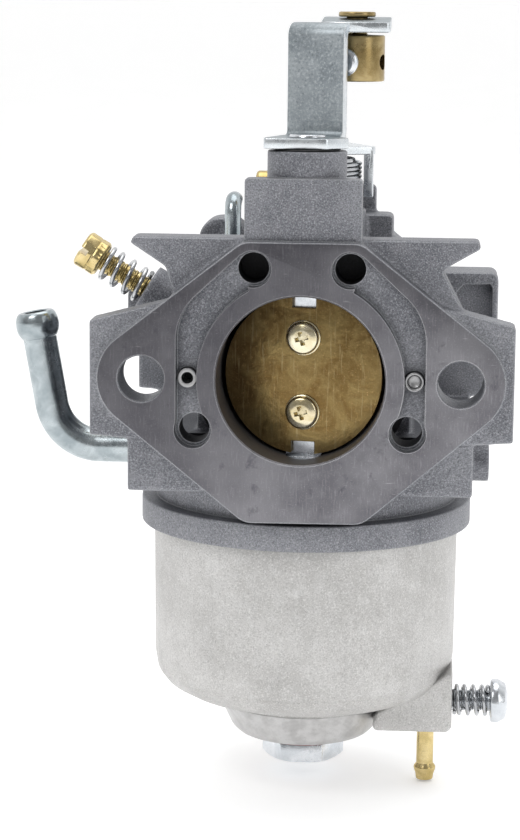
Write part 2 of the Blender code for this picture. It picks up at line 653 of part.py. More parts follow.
def make_elbow(looks):
    """A bent inlet tube that leaves the body level and turns up, with a bead at its mouth."""
    start = Vector((-36.1, ELBOW_Y, ELBOW_Z))
    points = [Vector((-22.0, ELBOW_Y, ELBOW_Z)), start]
    for step in range(1, 9):
        turn = ELBOW_SWEEP * step / 8
        points.append(start + Vector((-math.sin(turn), 0, 1 - math.cos(turn))) * ELBOW_BEND)
    ahead = Vector((-math.cos(ELBOW_SWEEP), 0, math.sin(ELBOW_SWEEP)))
    points.append(points[-1] + ahead * ELBOW_RISE)
    tube = swept(points, ELBOW_R - GAP, 14, 1.9)
    mouth = points[-1]
    lip = [(2.0, -4.4), (3.0, -4.2), (3.7, -2.8), (3.7, -1.0), (3.1, 0.1), (2.0, 0.1)]
    bead = turned(lip, ROUND, mouth, ahead)
    collar = turned(ring(2.4, 4.0, 0, 1.2), ROUND, (-28.7, ELBOW_Y, ELBOW_Z), (-1, 0, 0))
    link("fuel_elbow", joined(tube, bead, collar), looks["zinc"])


def make_vent(looks):
    """A short bent tube that vents the float chamber."""
    x, y = -13.2, 26.0
    points = [Vector((x, y, 16.0)), Vector((x, y, 24.6))]
    for step in range(1, 7):
        turn = math.pi / 2 * step / 6
        points.append(Vector((x, y + 2.4 * (1 - math.cos(turn)), 24.6 + 2.4 * math.sin(turn))))
    points.append(Vector((x, y + 3.6, 27.0)))
    link("vent_tube", swept(points, 1.4, 10, 0.9), looks["zinc"])


def make_jets(looks):
    jet = [(0.45, 2.2), (0.45, 6.2), (1.6, 6.2), (1.6, 1.4), (0.95, 1.4)]
    link("pilot_air_jet", turned(jet, SMALL_ROUND, (-18.5, 0, 0.1), (0, 1, 0)), looks["jet"])
    plug = [(0, 2.4), (1.0, 2.0), (1.2, 1.3), (1.6, 1.3), (1.6, 4.6), (0, 4.6)]
    link("main_air_plug", turned(plug, SMALL_ROUND, (18.5, 0, 0.1), (0, 1, 0)), looks["jet"])
    button = [(0, 0), (2.3, 0), (2.3, 2.2), (1.7, 2.5), (0, 2.5)]
    link("body_plug", turned(button, SMALL_ROUND, (28.7, 24.0, -17.1), (1, 0, 0)), looks["jet"])
    centre = (BOWL_X, BOWL_Y, 0)
    nozzle = [(1.2, -50.0), (3.1, -50.0), (3.1, -46.0), (2.4, -46.0), (2.4, -18.0), (3.1, -17.0)]
    nozzle += [(3.1, -14.0), (2.4, -13.0), (2.4, -8.6), (1.2, -8.6)]
    link("main_nozzle", turned(nozzle, SMALL_ROUND, centre), looks["brass"])
    link("main_jet", turned(ring(0.6, 3.1, -56.5, -50.4), SMALL_ROUND, centre), looks["brass"])
    pilot = [(0.4, -30.0), (2.4, -30.0), (2.4, -27.5), (1.9, -27.5), (1.9, -17.2), (0.4, -17.2)]
    link("pilot_jet", turned(pilot, SMALL_ROUND, (12.0, 33.0, 0)), looks["brass"])


def make_float(looks):
    """A ring float on an arm, the pin it hinges on, and the needle that its tang lifts."""
    x, y = BOWL_X, BOWL_Y
    pin_y, pin_z = 51.5, -27.4
    pivot_float = pivot("float_hinge", (x, pin_y, pin_z))
    doughnut = [(10.6, -52.0), (19.5, -52.0), (21.5, -50.0), (21.5, -37.0), (20.5, -36.0), (10.6, -36.0)]
    arm = [box((x - 4.6, 46.4, -37.0), (x + 4.6, 50.6, -33.2))]
    arm.append(box((x - 4.6, 49.0, -36.0), (x + 4.6, 52.8, -29.6)))
    arm.append(rod(2.4, (x - 4.6, pin_y, pin_z), (x + 4.6, pin_y, pin_z), SMALL_ROUND))
    arm.append(box((x - 2.0, 41.5, -35.4), (x + 2.0, 47.4, -34.4)))
    arm.append(box((x - 4.6, 49.4, -30.6), (x + 4.6, 53.2, -27.4)))
    pin_hole = rod(1.1, (x - 9, pin_y, pin_z), (x + 9, pin_y, pin_z), SMALL_ROUND)
    body = cut(joined(turned(doughnut, 30, (x, y, 0)), *arm), pin_hole)
    link("float", body, looks["float"], pivot_float, (x, pin_y, pin_z))
    link("float_pin", rod(1.0, (x - 8.4, pin_y, pin_z), (x + 8.4, pin_y, pin_z), 12), looks["zinc"])
    needle = [(0, -34.2), (1.3, -34.2), (1.3, -26.6), (0.5, -25.0), (0, -25.0)]
    link("inlet_needle", turned(needle, SMALL_ROUND, (x, 43.5, 0)), looks["rubber"], None, (x, 43.5, -34.2))
    seat = [(1.5, -28.6), (3.2, -28.6), (3.2, -24.5), (2.4, -24.5), (2.4, -17.2)]
    seat += [(0.7, -17.2), (0.7, -24.2), (1.5, -25.6)]
    link("needle_seat", turned(seat, SMALL_ROUND, (x, 43.5, 0)), looks["brass"])


def make_bowl(looks):
    """A drawn cup with a stepped floor, open to the float chamber, with a cast drain boss."""
    inner = BOWL_R - BOWL_WALL
    rim = RING_BOTTOM - 1.0
    outside = [(6.3, -64.0), (6.3, -67.5), (11.6, -67.5), (12.6, -66.4), (14.4, -62.6), (15.0, -60.9)]
    outside += [(21.6, -59.0), (24.4, -57.3), (25.9, -55.0), (26.4, -52.6), (BOWL_R, RING_BOTTOM - GAP)]
    outside += [(BOWL_R - 0.6, RING_BOTTOM - GAP), (BOWL_R - 0.6, rim)]
    inside = [(inner, rim), (inner - 0.2, -52.4), (24.1, -54.3), (23.0, -55.9), (20.9, -57.2)]
    inside += [(13.0, -59.6), (10.9, -61.0), (10.4, -64.0)]
    cup = turned(outside + inside, BIG_ROUND, (BOWL_X, BOWL_Y, 0))
    outline = [(12.2, -63.0), (12.6, -64.2), (25.2, -64.2), (26.0, -63.4), (26.0, -53.4), (13.2, -60.8)]
    boss = prism(outline, 19.4, 30.4)
    cuts = [rod(2.0, (12.0, DRAIN_Y, DRAIN_Z), (30, DRAIN_Y, DRAIN_Z), 16)]
    cuts.append(rod(1.6, (NIPPLE_X, NIPPLE_Y, -68), (NIPPLE_X, NIPPLE_Y, -62.0), SMALL_ROUND))
    cuts.append(rod(6.2, (BOWL_X, BOWL_Y, -69), (BOWL_X, BOWL_Y, -60)))
    link("float_bowl", cut(joined(cup, boss), *cuts), looks["bowl"])
    seal = ring(inner - 0.4, BOWL_R - 0.7, rim + GAP, RING_BOTTOM - GAP)
    link("bowl_gasket", turned(seal, BIG_ROUND, (BOWL_X, BOWL_Y, 0)), looks["rubber"])
    washer = turned(ring(3.3, 7.6, -68.5, -67.6), ROUND, (BOWL_X, BOWL_Y, 0))
    link("bowl_bolt_washer", washer, looks["fibre"])
    make_bowl_bolt(looks)


def make_bowl_bolt(looks):
    """A hex bolt with chamfered corners, whose shank screws up into the body's column."""
    flats = 6.32
    corner = flats / math.cos(math.radians(30))
    outline = arc((BOWL_X, BOWL_Y), corner, 0, 300, 5)
    chamfer = [(0, -72.4), (6.0, -72.2), (7.5, -71.3), (7.5, -68.0), (0, -68.0)]
    dome = turned(chamfer, ROUND, (BOWL_X, BOWL_Y, 0))
    head = combined(prism(outline, -72.0, -68.6, "Z"), "INTERSECT", [dome])
    shank = rod(3.0, (BOWL_X, BOWL_Y, -69.5), (BOWL_X, BOWL_Y, -57.4))
    link("bowl_bolt", joined(head, shank), looks["zinc"])


def make_looks():
    return {
        "casting": material("casting", (0.27, 0.27, 0.29), 0.62, 0.75),
        "bowl": material("bowl_casting", (0.62, 0.61, 0.60), 0.5, 0.8),
        "zinc": material("zinc", (0.66, 0.68, 0.70), 0.28, 1.0),
        "spring": material("spring_wire", (0.55, 0.56, 0.58), 0.25, 1.0),
        "brass": material("brass", (0.68, 0.52, 0.24), 0.3, 1.0),
        "gold": material("gold_chromate", (0.50, 0.36, 0.13), 0.35, 1.0),
        "chromate": material("yellow_zinc", (0.60, 0.46, 0.17), 0.3, 1.0),
        "jet": material("jet_metal", (0.40, 0.40, 0.41), 0.4, 1.0),
        "felt": material("felt", (0.08, 0.08, 0.08), 0.95, 0.0),
        "fibre": material("red_fibre", (0.25, 0.06, 0.04), 0.8, 0.0),
        "rubber": material("black_rubber", (0.02, 0.02, 0.02), 0.6, 0.0),
        "float": material("float_plastic", (0.04, 0.04, 0.045), 0.45, 0.0),
    }


def main():
    clear_scene()
    looks = make_looks()
    make_body(looks)
    make_choke(looks)
    make_throttle(looks)
    make_mixture_screw(looks)
    make_idle_screw(looks)
    make_drain(looks)
    make_elbow(looks)
    make_vent(looks)
    make_jets(looks)
    make_float(looks)
    make_bowl(looks)


main()
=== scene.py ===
"""Looks for the float-bowl carburetor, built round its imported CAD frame.

Shapes are made in the frame's own axes in millimetres and scaled to metres when a piece is linked:
the origin lies on the bore axis in the air-side face, +Y runs towards the engine and +Z is up.
"""

import math

import bmesh
import bpy
from mathutils import Matrix, Vector


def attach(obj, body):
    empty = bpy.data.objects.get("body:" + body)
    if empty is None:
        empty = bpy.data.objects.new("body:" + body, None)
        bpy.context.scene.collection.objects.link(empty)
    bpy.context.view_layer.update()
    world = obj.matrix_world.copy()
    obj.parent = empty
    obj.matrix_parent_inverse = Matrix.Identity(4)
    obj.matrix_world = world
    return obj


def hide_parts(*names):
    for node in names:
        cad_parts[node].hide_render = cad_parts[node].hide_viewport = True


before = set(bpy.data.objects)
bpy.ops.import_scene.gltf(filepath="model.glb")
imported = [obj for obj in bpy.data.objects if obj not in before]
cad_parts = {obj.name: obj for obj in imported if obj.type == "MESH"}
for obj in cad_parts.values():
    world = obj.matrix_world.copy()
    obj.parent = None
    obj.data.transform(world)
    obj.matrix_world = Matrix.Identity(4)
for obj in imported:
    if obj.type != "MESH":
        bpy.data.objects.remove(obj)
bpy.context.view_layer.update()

MM = 0.001
SEGMENTS = 96  # round a bore or the bowl
MEDIUM = 56  # round a boss or a shaft
SMALL = 32  # round a screw

CHOKE_X = 0.3
CHOKE_Y = 8.7
CHOKE_REST = math.radians(-22.0)
PLATE_REST = math.radians(-11.0)
THROTTLE_Y = 47.0
BOSS_TOP = 36.9  # of the choke boss
THROTTLE_REST = math.radians(-6.0)
THROTTLE_BOSS_TOP = 33.4
BOWL = (-0.3, 31.0)  # the bowl's axis, x and y
SHAFT_LOW = -16.4  # of both butterfly shafts
VOXEL = 0.36  # of the casting before it is machined
CAST_SMOOTHING = 4
SHARP = math.radians(35.0)  # edges sharper than this stay crisp when shaded
ALONG_BORE = (0, 1, 0)
BODY = "carburetor_body"


# --- mesh tools -------------------------------------------------------------------------------


def frame_along(direction):
    """A rotation that takes +Z to this direction."""
    return Vector((0, 0, 1)).rotation_difference(Vector(direction)).to_matrix().to_4x4()


def placed(bm, at=(0, 0, 0), along=(0, 0, 1)):
    bmesh.ops.transform(bm, matrix=Matrix.Translation(at) @ frame_along(along), verts=bm.verts)
    return bm


def turn_about(bm, centre, angle):
    """Turns a mesh about the vertical line through centre."""
    spin = Matrix.Rotation(angle, 4, "Z")
    matrix = Matrix.Translation((*centre, 0)) @ spin @ Matrix.Translation((-centre[0], -centre[1], 0))
    bmesh.ops.transform(bm, matrix=matrix, verts=bm.verts)
    return bm


def soften(outline, radius, steps=3):
    """Rounds the corners of a closed outline. Corners on the axis and near-straight ones stay."""
    out = []
    for index, point in enumerate(outline):
        here = Vector(point)
        back = Vector(outline[index - 1]) - here
        ahead = Vector(outline[(index + 1) % len(outline)]) - here
        on_axis = abs(here.x) < 1e-6
        if on_axis or back.length < 1e-6 or ahead.length < 1e-6 or back.angle(-ahead) < 0.15:
            out.append(tuple(here))
            continue
        reach = min(radius, 0.45 * back.length, 0.45 * ahead.length)
        first = here + back.normalized() * reach
        last = here + ahead.normalized() * reach
        for step in range(steps + 1):
            t = step / steps
            out.append(tuple(first * (1 - t) ** 2 + here * 2 * t * (1 - t) + last * t * t))
    return out


def turned(profile, segments=MEDIUM, at=(0, 0, 0), along=(0, 0, 1), shape=None):
    """The solid that a closed (radius, height) outline sweeps about its axis.

    shape(turn, height) scales the radius, for flats, knurls and lobes.
    """
    bm = bmesh.new()
    rings = []
    for radius, height in profile:
        if radius < 1e-6:
            rings.append([bm.verts.new((0, 0, height))] * segments)
            continue
        ring = []
        for step in range(segments):
            turn = 2 * math.pi * step / segments
            wide = radius * (shape(turn, height) if shape else 1.0)
            ring.append(bm.verts.new((wide * math.cos(turn), wide * math.sin(turn), height)))
        rings.append(ring)
    for lower, upper in zip(rings, rings[1:] + rings[:1]):
        for step in range(segments):
            after = (step + 1) % segments
            corners = list(dict.fromkeys([lower[step], lower[after], upper[after], upper[step]]))
            if len(corners) > 2:
                bm.faces.new(corners)
    bmesh.ops.recalc_face_normals(bm, faces=bm.faces)
    return placed(bm, at, along)


def lathe(profile, round_by, segments=MEDIUM, at=(0, 0, 0), along=(0, 0, 1), shape=None):
    return turned(soften(profile, round_by), segments, at, along, shape)


def soften_between(chain, radius, steps):
    """Rounds the corners of an open chain of points. Its two ends stay."""
    inside = soften(chain, radius, steps)[steps + 1 : -steps - 1]
    return chain[:1] + inside + chain[-1:]


def rod(radius, start, end, segments=MEDIUM, round_by=0.0):
    start, end = Vector(start), Vector(end)
    long = (end - start).length
    profile = [(0, 0), (radius, 0), (radius, long), (0, long)]
    if round_by:
        profile = soften(profile, round_by)
    return turned(profile, segments, start, end - start)


def prism(outline, low, high, axis="Y", round_by=0.0, steps=2):
    """Extrudes an outline. Its points are (x, z) along Y, (x, y) along Z and (y, z) along X."""
    bm = bmesh.new()
    ends = []
    for height in (low, high):
        ring = []
        for a, b in outline:
            point = {"X": (height, a, b), "Y": (a, height, b), "Z": (a, b, height)}[axis]
            ring.append(bm.verts.new(point))
        ends.append(ring)
    bm.faces.new(ends[0])
    bm.faces.new(ends[1])
    for step in range(len(outline)):
        after = (step + 1) % len(outline)
        bm.faces.new([ends[0][step], ends[0][after], ends[1][after], ends[1][step]])
    bmesh.ops.recalc_face_normals(bm, faces=bm.faces)
    if round_by:
        rounded(bm, round_by, steps)
    return bm


def rounded(bm, radius, steps=2, sharper_than=0.6):
    """Bevels every edge whose faces meet at more than this angle."""
    edges = [e for e in bm.edges if len(e.link_faces) == 2 and e.calc_face_angle(0) > sharper_than]
    shape = {"offset": radius, "segments": steps, "profile": 0.5, "clamp_overlap": True}
    bmesh.ops.bevel(bm, geom=edges, affect="EDGES", **shape)
    return bm


def box(low, high, round_by=0.0, steps=2):
    outline = [(low[0], low[1]), (high[0], low[1]), (high[0], high[1]), (low[0], high[1])]
    return prism(outline, low[2], high[2], "Z", round_by, steps)


def arc(centre, radius, start, end, steps):
    """Points on an arc, both ends included, with angles in degrees."""
    points = []
    for step in range(steps + 1):
        turn = math.radians(start + (end - start) * step / steps)
        points.append((centre[0] + radius * math.cos(turn), centre[1] + radius * math.sin(turn)))
    return points


def around(discs, steps=18):
    """The outline of a band stretched round discs, given as (x, z, radius) anticlockwise."""
    outline = []
    count = len(discs)
    for index, (x, z, radius) in enumerate(discs):
        tangents = []
        for one, two in ((discs[index - 1], discs[index]), (discs[index], discs[(index + 1) % count])):
            across = math.hypot(two[0] - one[0], two[1] - one[1])
            heading = math.atan2(two[1] - one[1], two[0] - one[0])
            tangents.append(heading - math.acos((one[2] - two[2]) / across))
        start, end = (math.degrees(turn) for turn in tangents)
        while end < start:
            end += 360.0
        outline += arc((x, z), radius, start, end, steps)
    return outline


def rounded_box(low, high, corner, axis="Y"):
    """A block whose outline across this axis has round corners."""
    first, second = {"X": (1, 2), "Y": (0, 2), "Z": (0, 1)}[axis]
    along = 3 - first - second
    a, b, c, d = low[first] + corner, high[first] - corner, low[second] + corner, high[second] - corner
    outline = arc((b, c), corner, -90, 0, 8) + arc((b, d), corner, 0, 90, 8)
    outline += arc((a, d), corner, 90, 180, 8) + arc((a, c), corner, 180, 270, 8)
    return prism(outline, low[along], high[along], axis)


def swept(points, radius, sides, hollow=0.0):
    """A round wire along a chain of points, or a tube with this hollow radius."""
    bm = bmesh.new()
    points = [Vector(point) for point in points]
    skins = []
    for size in [radius] + ([hollow] if hollow else []):
        rings = []
        side = Vector((0.137, 0.211, 0.968))
        for index, point in enumerate(points):
            ahead = points[min(index + 1, len(points) - 1)] - points[max(index - 1, 0)]
            side = (side - ahead * side.dot(ahead) / ahead.length_squared).normalized()
            other = ahead.normalized().cross(side)
            ring = []
            for step in range(sides):
                turn = 2 * math.pi * step / sides
                offset = side * math.cos(turn) + other * math.sin(turn)
                ring.append(bm.verts.new(point + offset * size))
            rings.append(ring)
        skins.append(rings)
        for lower, upper in zip(rings, rings[1:]):
            for step in range(sides):
                after = (step + 1) % sides
                bm.faces.new([lower[step], lower[after], upper[after], upper[step]])
    for end in (0, -1):
        if not hollow:
            bm.faces.new(skins[0][end])
            continue
        for step in range(sides):
            after = (step + 1) % sides
            outer, inner = skins[0][end], skins[1][end]
            bm.faces.new([outer[step], outer[after], inner[after], inner[step]])
    bmesh.ops.recalc_face_normals(bm, faces=bm.faces)
    return bm


def coil(radius, length, turns, closed_turns=0.0, wire=0.4, per_turn=40):
    """Points of a helix about +Z from height 0. closed_turns at each end lie close together."""
    steps = int(round(turns * per_turn))
    weights = []
    for step in range(steps):
        turn = (step + 0.5) / per_turn
        edge = min(turn, turns - turn)
        blend = min(1.0, max(0.0, (edge - closed_turns) / 0.25 + 0.5))
        weights.append(blend)
    shut = 2.1 * wire
    loose = (length * per_turn - shut * steps) / sum(weights) if sum(weights) else 0.0
    height = 0.0
    points = [Vector((radius, 0, 0))]
    for step, weight in enumerate(weights):
        height += (shut + loose * weight) / per_turn
        turn = 2 * math.pi * (step + 1) / per_turn
        points.append(Vector((radius * math.cos(turn), radius * math.sin(turn), height)))
    return points


def moved(points, at, along):
    matrix = Matrix.Translation(at) @ frame_along(along)
    return [matrix @ point for point in points]


def thread(radius, depth, pitch, low, high, at, along, segments=28):
    """A rod with a real helical thread between two heights."""
    bm = bmesh.new()
    rings = []
    steps = max(2, int((high - low) / pitch * 8))
    for row in range(steps + 1):
        height = low + (high - low) * row / steps
        fade = min(1.0, (high - height) / pitch, (height - low) / pitch + 0.05)
        ring = []
        for step in range(segments):
            phase = (height / pitch - step / segments) % 1.0
            cut = depth * (1 - abs(2 * phase - 1)) * max(0.0, fade)
            turn = 2 * math.pi * step / segments
            wide = radius - cut
            ring.append(bm.verts.new((wide * math.cos(turn), wide * math.sin(turn), height)))
        rings.append(ring)
    for lower, upper in zip(rings, rings[1:]):
        for step in range(segments):
            after = (step + 1) % segments
            bm.faces.new([lower[step], lower[after], upper[after], upper[step]])
    bm.faces.new(rings[0])
    bm.faces.new(rings[-1])
    bmesh.ops.recalc_face_normals(bm, faces=bm.faces)
    return placed(bm, at, along)


def merged(*meshes):
    """Several meshes in one, without joining their surfaces."""
    whole = bmesh.new()
    for bm in meshes:
        part = bpy.data.meshes.new("part")
        bm.to_mesh(part)
        bm.free()
        whole.from_mesh(part)
        bpy.data.meshes.remove(part)
    return whole


def helper(bm):
    """An object of this millimetre mesh that only takes part in a modifier."""
    mesh = bpy.data.meshes.new("helper")
    bm.to_mesh(mesh)
    bm.free()
    obj = bpy.data.objects.new("helper", mesh)
    bpy.context.scene.collection.objects.link(obj)
    return obj


def modified(obj):
    """The mesh of this helper with its modifiers applied. The helper is removed."""
    bpy.context.view_layer.update()
    graph = bpy.context.evaluated_depsgraph_get()
    bm = bmesh.new()
    bm.from_mesh(obj.evaluated_get(graph).to_mesh())
    bpy.data.objects.remove(obj)
    return bm


def combined(base, operation, others):
    for other in others:
        first, second = helper(base), helper(other)
        modifier = first.modifiers.new("Cut", "BOOLEAN")
        modifier.operation = operation
        modifier.solver = "MANIFOLD"
        modifier.object = second
        base = modified(first)
        bpy.data.objects.remove(second)
    return base


def joined(base, *others):
    return combined(base, "UNION", others)


def cut(base, *others):
    return combined(base, "DIFFERENCE", others)


def cast(lumps):
    """Melts overlapping lumps into one skin with the soft edges and fillets of a casting."""
    obj = helper(merged(*lumps))
    remesh = obj.modifiers.new("Melt", "REMESH")
    remesh.mode = "VOXEL"
    remesh.voxel_size = VOXEL
    remesh.adaptivity = 0.0
    smooth = obj.modifiers.new("Soften", "SMOOTH")
    smooth.factor = 0.5
    smooth.iterations = CAST_SMOOTHING
    return modified(obj)


def piece(name, bm, looks, body, node):
    """Links a finished mesh, shades it, hangs it under its body and hides the CAD node it stands for.

    looks is one key of LOOKS, or several in the order of the mesh's material indices.
    """
    keys = looks if isinstance(looks, tuple) else (looks,)
    bmesh.ops.remove_doubles(bm, verts=bm.verts, dist=1e-4)
    bmesh.ops.scale(bm, vec=(MM, MM, MM), verts=bm.verts)
    mesh = bpy.data.meshes.new(name)
    bm.to_mesh(mesh)
    bm.free()
    for key in keys:
        mesh.materials.append(LOOKS[key])
    mesh.shade_smooth()
    mesh.set_sharp_from_angle(angle=SHARP)
    obj = bpy.data.objects.new(name, mesh)
    bpy.context.scene.collection.objects.link(obj)
    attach(obj, body)
    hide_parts(node)


# --- materials --------------------------------------------------------------------------------


class Nodes:
    """A short way to write a procedural Principled material in object-space millimetres."""

    def __init__(self, name, metallic, roughness=0.5):
        self.material = bpy.data.materials.new(name)
        self.material.use_nodes = True
        self.tree = self.material.node_tree
        self.shader = self.tree.nodes["Principled BSDF"]
        self.shader.inputs["Metallic"].default_value = metallic
        self.shader.inputs["Roughness"].default_value = roughness
        coordinates = self.tree.nodes.new("ShaderNodeTexCoord")
        self.place = self.math3("MULTIPLY", coordinates.outputs["Object"], (1000.0, 1000.0, 1000.0))

    def add(self, kind, **settings):
        node = self.tree.nodes.new(kind)
        for key, value in settings.items():
            setattr(node, key, value)
        return node

    def plug(self, socket, value):
        """Links an output to an input, or sets the input to a plain value."""
        if isinstance(value, bpy.types.NodeSocket):
            self.tree.links.new(value, socket)
        elif isinstance(value, tuple) and len(value) == 3 and socket.type == "RGBA":
            socket.default_value = (*value, 1.0)
        else:
            socket.default_value = value

    def math(self, operation, a, b=0.0):
        node = self.add("ShaderNodeMath", operation=operation)
        self.plug(node.inputs[0], a)
        self.plug(node.inputs[1], b)
        return node.outputs[0]

    def math3(self, operation, a, b=(0.0, 0.0, 0.0)):
        node = self.add("ShaderNodeVectorMath", operation=operation)
        self.plug(node.inputs[0], a)
        self.plug(node.inputs[1], b)
        return node.outputs["Value" if operation in ("DOT_PRODUCT", "LENGTH") else "Vector"]

    def stretched(self, scale):
        return self.math3("MULTIPLY", self.place, scale)

    def noise(self, size, detail=3.0, roughness=0.55, distortion=0.0, place=None):
        """Noise whose features are about this many millimetres across."""
        node = self.add("ShaderNodeTexNoise")
        self.plug(node.inputs["Vector"], place or self.place)
        node.inputs["Scale"].default_value = 1.0 / size
        node.inputs["Detail"].default_value = detail
        node.inputs["Roughness"].default_value = roughness
        node.inputs["Distortion"].default_value = distortion
        return node.outputs["Fac"]

    def split(self, vector):
        node = self.add("ShaderNodeSeparateXYZ")
        self.plug(node.inputs[0], vector)
        return node.outputs

    def blend(self, a, share, b):
        """a and b added in these proportions."""
        return self.math("ADD", self.math("MULTIPLY", a, share), self.math("MULTIPLY", b, 1.0 - share))

    def ramp(self, value, low, high, out_low=0.0, out_high=1.0):
        node = self.add("ShaderNodeMapRange", interpolation_type="SMOOTHSTEP", clamp=True)
        self.plug(node.inputs["Value"], value)
        node.inputs["From Min"].default_value = low
        node.inputs["From Max"].default_value = high
        node.inputs["To Min"].default_value = out_low
        node.inputs["To Max"].default_value = out_high
        return node.outputs["Result"]

    def mix(self, share, a, b):
        node = self.add("ShaderNodeMix", data_type="RGBA", blend_type="MIX")
        self.plug(node.inputs["Factor"], share)
        self.plug(node.inputs[6], a)
        self.plug(node.inputs[7], b)
        return node.outputs[2]

    def over(self, colour, layers):
        """Lays colours over this one: each is (value, low, high, share, colour), with its full
        share where the value has gone from low to high."""
        for value, low, high, share, top in layers:
            colour = self.mix(self.ramp(value, low, high, 0.0, share), colour, top)
        return colour

    def painted_corner_shade(self, reach):
        """A mask for painted shade: 1 in the open, falling in narrow corners closer than this many
        millimetres.
        """
        node = self.add("ShaderNodeAmbientOcclusion", samples=4)
        node.inputs["Distance"].default_value = reach * MM
        return node.outputs["AO"]

    def edges(self, width):
        """1 along worn edges narrower than this many millimetres, and 0 elsewhere."""
        bevel = self.add("ShaderNodeBevel", samples=4)
        bevel.inputs["Radius"].default_value = width * MM
        geometry = self.add("ShaderNodeNewGeometry")
        facing = self.math3("DOT_PRODUCT", bevel.outputs["Normal"], geometry.outputs["Normal"])
        return self.ramp(facing, 0.995, 0.90)

    def bump(self, height, depth, soft_edge=0.0):
        """Bump of this depth in millimetres over softly rounded edges."""
        node = self.add("ShaderNodeBump")
        node.inputs["Strength"].default_value = 1.0
        node.inputs["Distance"].default_value = depth * MM
        self.plug(node.inputs["Height"], height)
        if soft_edge:
            bevel = self.add("ShaderNodeBevel", samples=4)
            bevel.inputs["Radius"].default_value = soft_edge * MM
            self.plug(node.inputs["Normal"], bevel.outputs["Normal"])
        self.plug(self.shader.inputs["Normal"], node.outputs["Normal"])

    def finish(self, colour, roughness=None):
        self.plug(self.shader.inputs["Base Color"], colour)
        if roughness is not None:
            self.plug(self.shader.inputs["Roughness"], roughness)
        return self.material


def casting_look():
    """Die-cast zinc: grey with a cool tint, finely pitted and sparkling, rubbed bright on edges."""
    n = Nodes("casting", 0.7)
    broad = n.noise(14.0, 3.0, 0.55)
    patch = n.noise(2.4, 4.0, 0.65, 0.4)
    grain = n.noise(0.26, 3.0, 0.75)
    fleck = n.noise(0.15, 2.0, 0.7)
    colour = n.mix(n.ramp(broad, 0.32, 0.7), (0.165, 0.170, 0.190), (0.25, 0.256, 0.278))
    layers = [
        (patch, 0.45, 0.8, 0.4, (0.33, 0.33, 0.35)),
        (grain, 0.5, 0.66, 0.75, (0.46, 0.465, 0.49)),
        (grain, 0.47, 0.32, 0.75, (0.06, 0.062, 0.072)),
        (fleck, 0.62, 0.75, 0.7, (0.62, 0.62, 0.64)),
        # painted shade: the casting darkens to near-black in narrow corners
        (n.painted_corner_shade(3.0), 0.75, 0.2, 0.75, (0.025, 0.025, 0.03)),
    ]
    colour = n.over(colour, layers)
    colour = n.mix(n.math("MULTIPLY", n.edges(0.35), 0.55), colour, (0.60, 0.61, 0.63))
    both = n.blend(patch, 0.4, grain)
    n.bump(both, 0.1, 0.2)
    return n.finish(colour, n.ramp(both, 0.3, 0.7, 0.40, 0.60))


def machined_look():
    """The faced flange: darker, purplish grey, with faint cutter lines, scuffs, bright edges and painted
    shade darkening it toward the upper left.
    """
    n = Nodes("machined_casting", 0.75)
    broad = n.noise(16.0, 3.0, 0.6)
    patch = n.noise(3.0, 4.0, 0.65, 0.6)
    grain = n.noise(0.28, 2.0, 0.7)
    lines = n.noise(0.4, 2.0, 0.6, 0.0, n.stretched((1.4, 1.0, 0.14)))
    scuff = n.noise(1.6, 2.0, 0.5, 0.0, n.stretched((0.5, 1.0, 2.6)))
    colour = n.mix(n.ramp(broad, 0.3, 0.7), (0.115, 0.112, 0.126), (0.225, 0.222, 0.238))
    layers = [
        (patch, 0.48, 0.8, 0.45, (0.27, 0.267, 0.285)),
        (patch, 0.44, 0.25, 0.65, (0.075, 0.072, 0.088)),
        (grain, 0.55, 0.75, 0.5, (0.40, 0.39, 0.415)),
        (lines, 0.52, 0.75, 0.4, (0.36, 0.35, 0.375)),
        (scuff, 0.66, 0.8, 0.5, (0.48, 0.47, 0.49)),
        (n.edges(0.26), 0.0, 1.0, 0.85, (0.64, 0.64, 0.66)),
    ]
    colour = n.over(colour, layers)
    # painted shade: the face darkens toward the upper left, broken up by the patch noise
    sides = n.split(n.place)
    across = n.math("SUBTRACT", sides["Z"], sides["X"])
    shade = n.ramp(n.math("ADD", across, n.math("MULTIPLY", patch, 20.0)), -12.0, 34.0, 0.0, 0.5)
    colour = n.mix(shade, colour, (0.055, 0.053, 0.062))
    both = n.blend(lines, 0.5, grain)
    n.bump(both, 0.025, 0.12)
    return n.finish(colour, n.ramp(both, 0.3, 0.7, 0.34, 0.50))


def bowl_look():
    """Light, warm-white cast aluminium with a bright speckle and faint vertical draw marks."""
    n = Nodes("bowl_casting", 0.55)
    broad = n.noise(11.0, 3.0, 0.55)
    patch = n.noise(2.2, 4.0, 0.65)
    grain = n.noise(0.27, 3.0, 0.75)
    scuff = n.noise(5.0, 5.0, 0.75, 0.5)
    drawn = n.noise(1.0, 3.0, 0.6, 0.0, n.stretched((1.1, 1.1, 0.06)))
    colour = n.mix(n.ramp(broad, 0.3, 0.7), (0.49, 0.482, 0.47), (0.62, 0.612, 0.60))
    layers = [
        (patch, 0.42, 0.75, 0.45, (0.72, 0.715, 0.71)),
        (drawn, 0.5, 0.75, 0.3, (0.46, 0.455, 0.45)),
        (grain, 0.51, 0.68, 0.7, (0.84, 0.835, 0.82)),
        (grain, 0.48, 0.33, 0.6, (0.30, 0.295, 0.29)),
        (scuff, 0.60, 0.72, 0.4, (0.30, 0.29, 0.28)),
        (scuff, 0.42, 0.30, 0.5, (0.78, 0.775, 0.765)),
        # painted shade: the bowl darkens in narrow corners
        (n.painted_corner_shade(2.0), 0.7, 0.2, 0.5, (0.16, 0.155, 0.15)),
    ]
    colour = n.over(colour, layers)
    n.bump(n.blend(patch, 0.55, grain), 0.15, 0.25)
    return n.finish(colour, n.ramp(n.blend(patch, 0.5, grain), 0.3, 0.7, 0.40, 0.6))


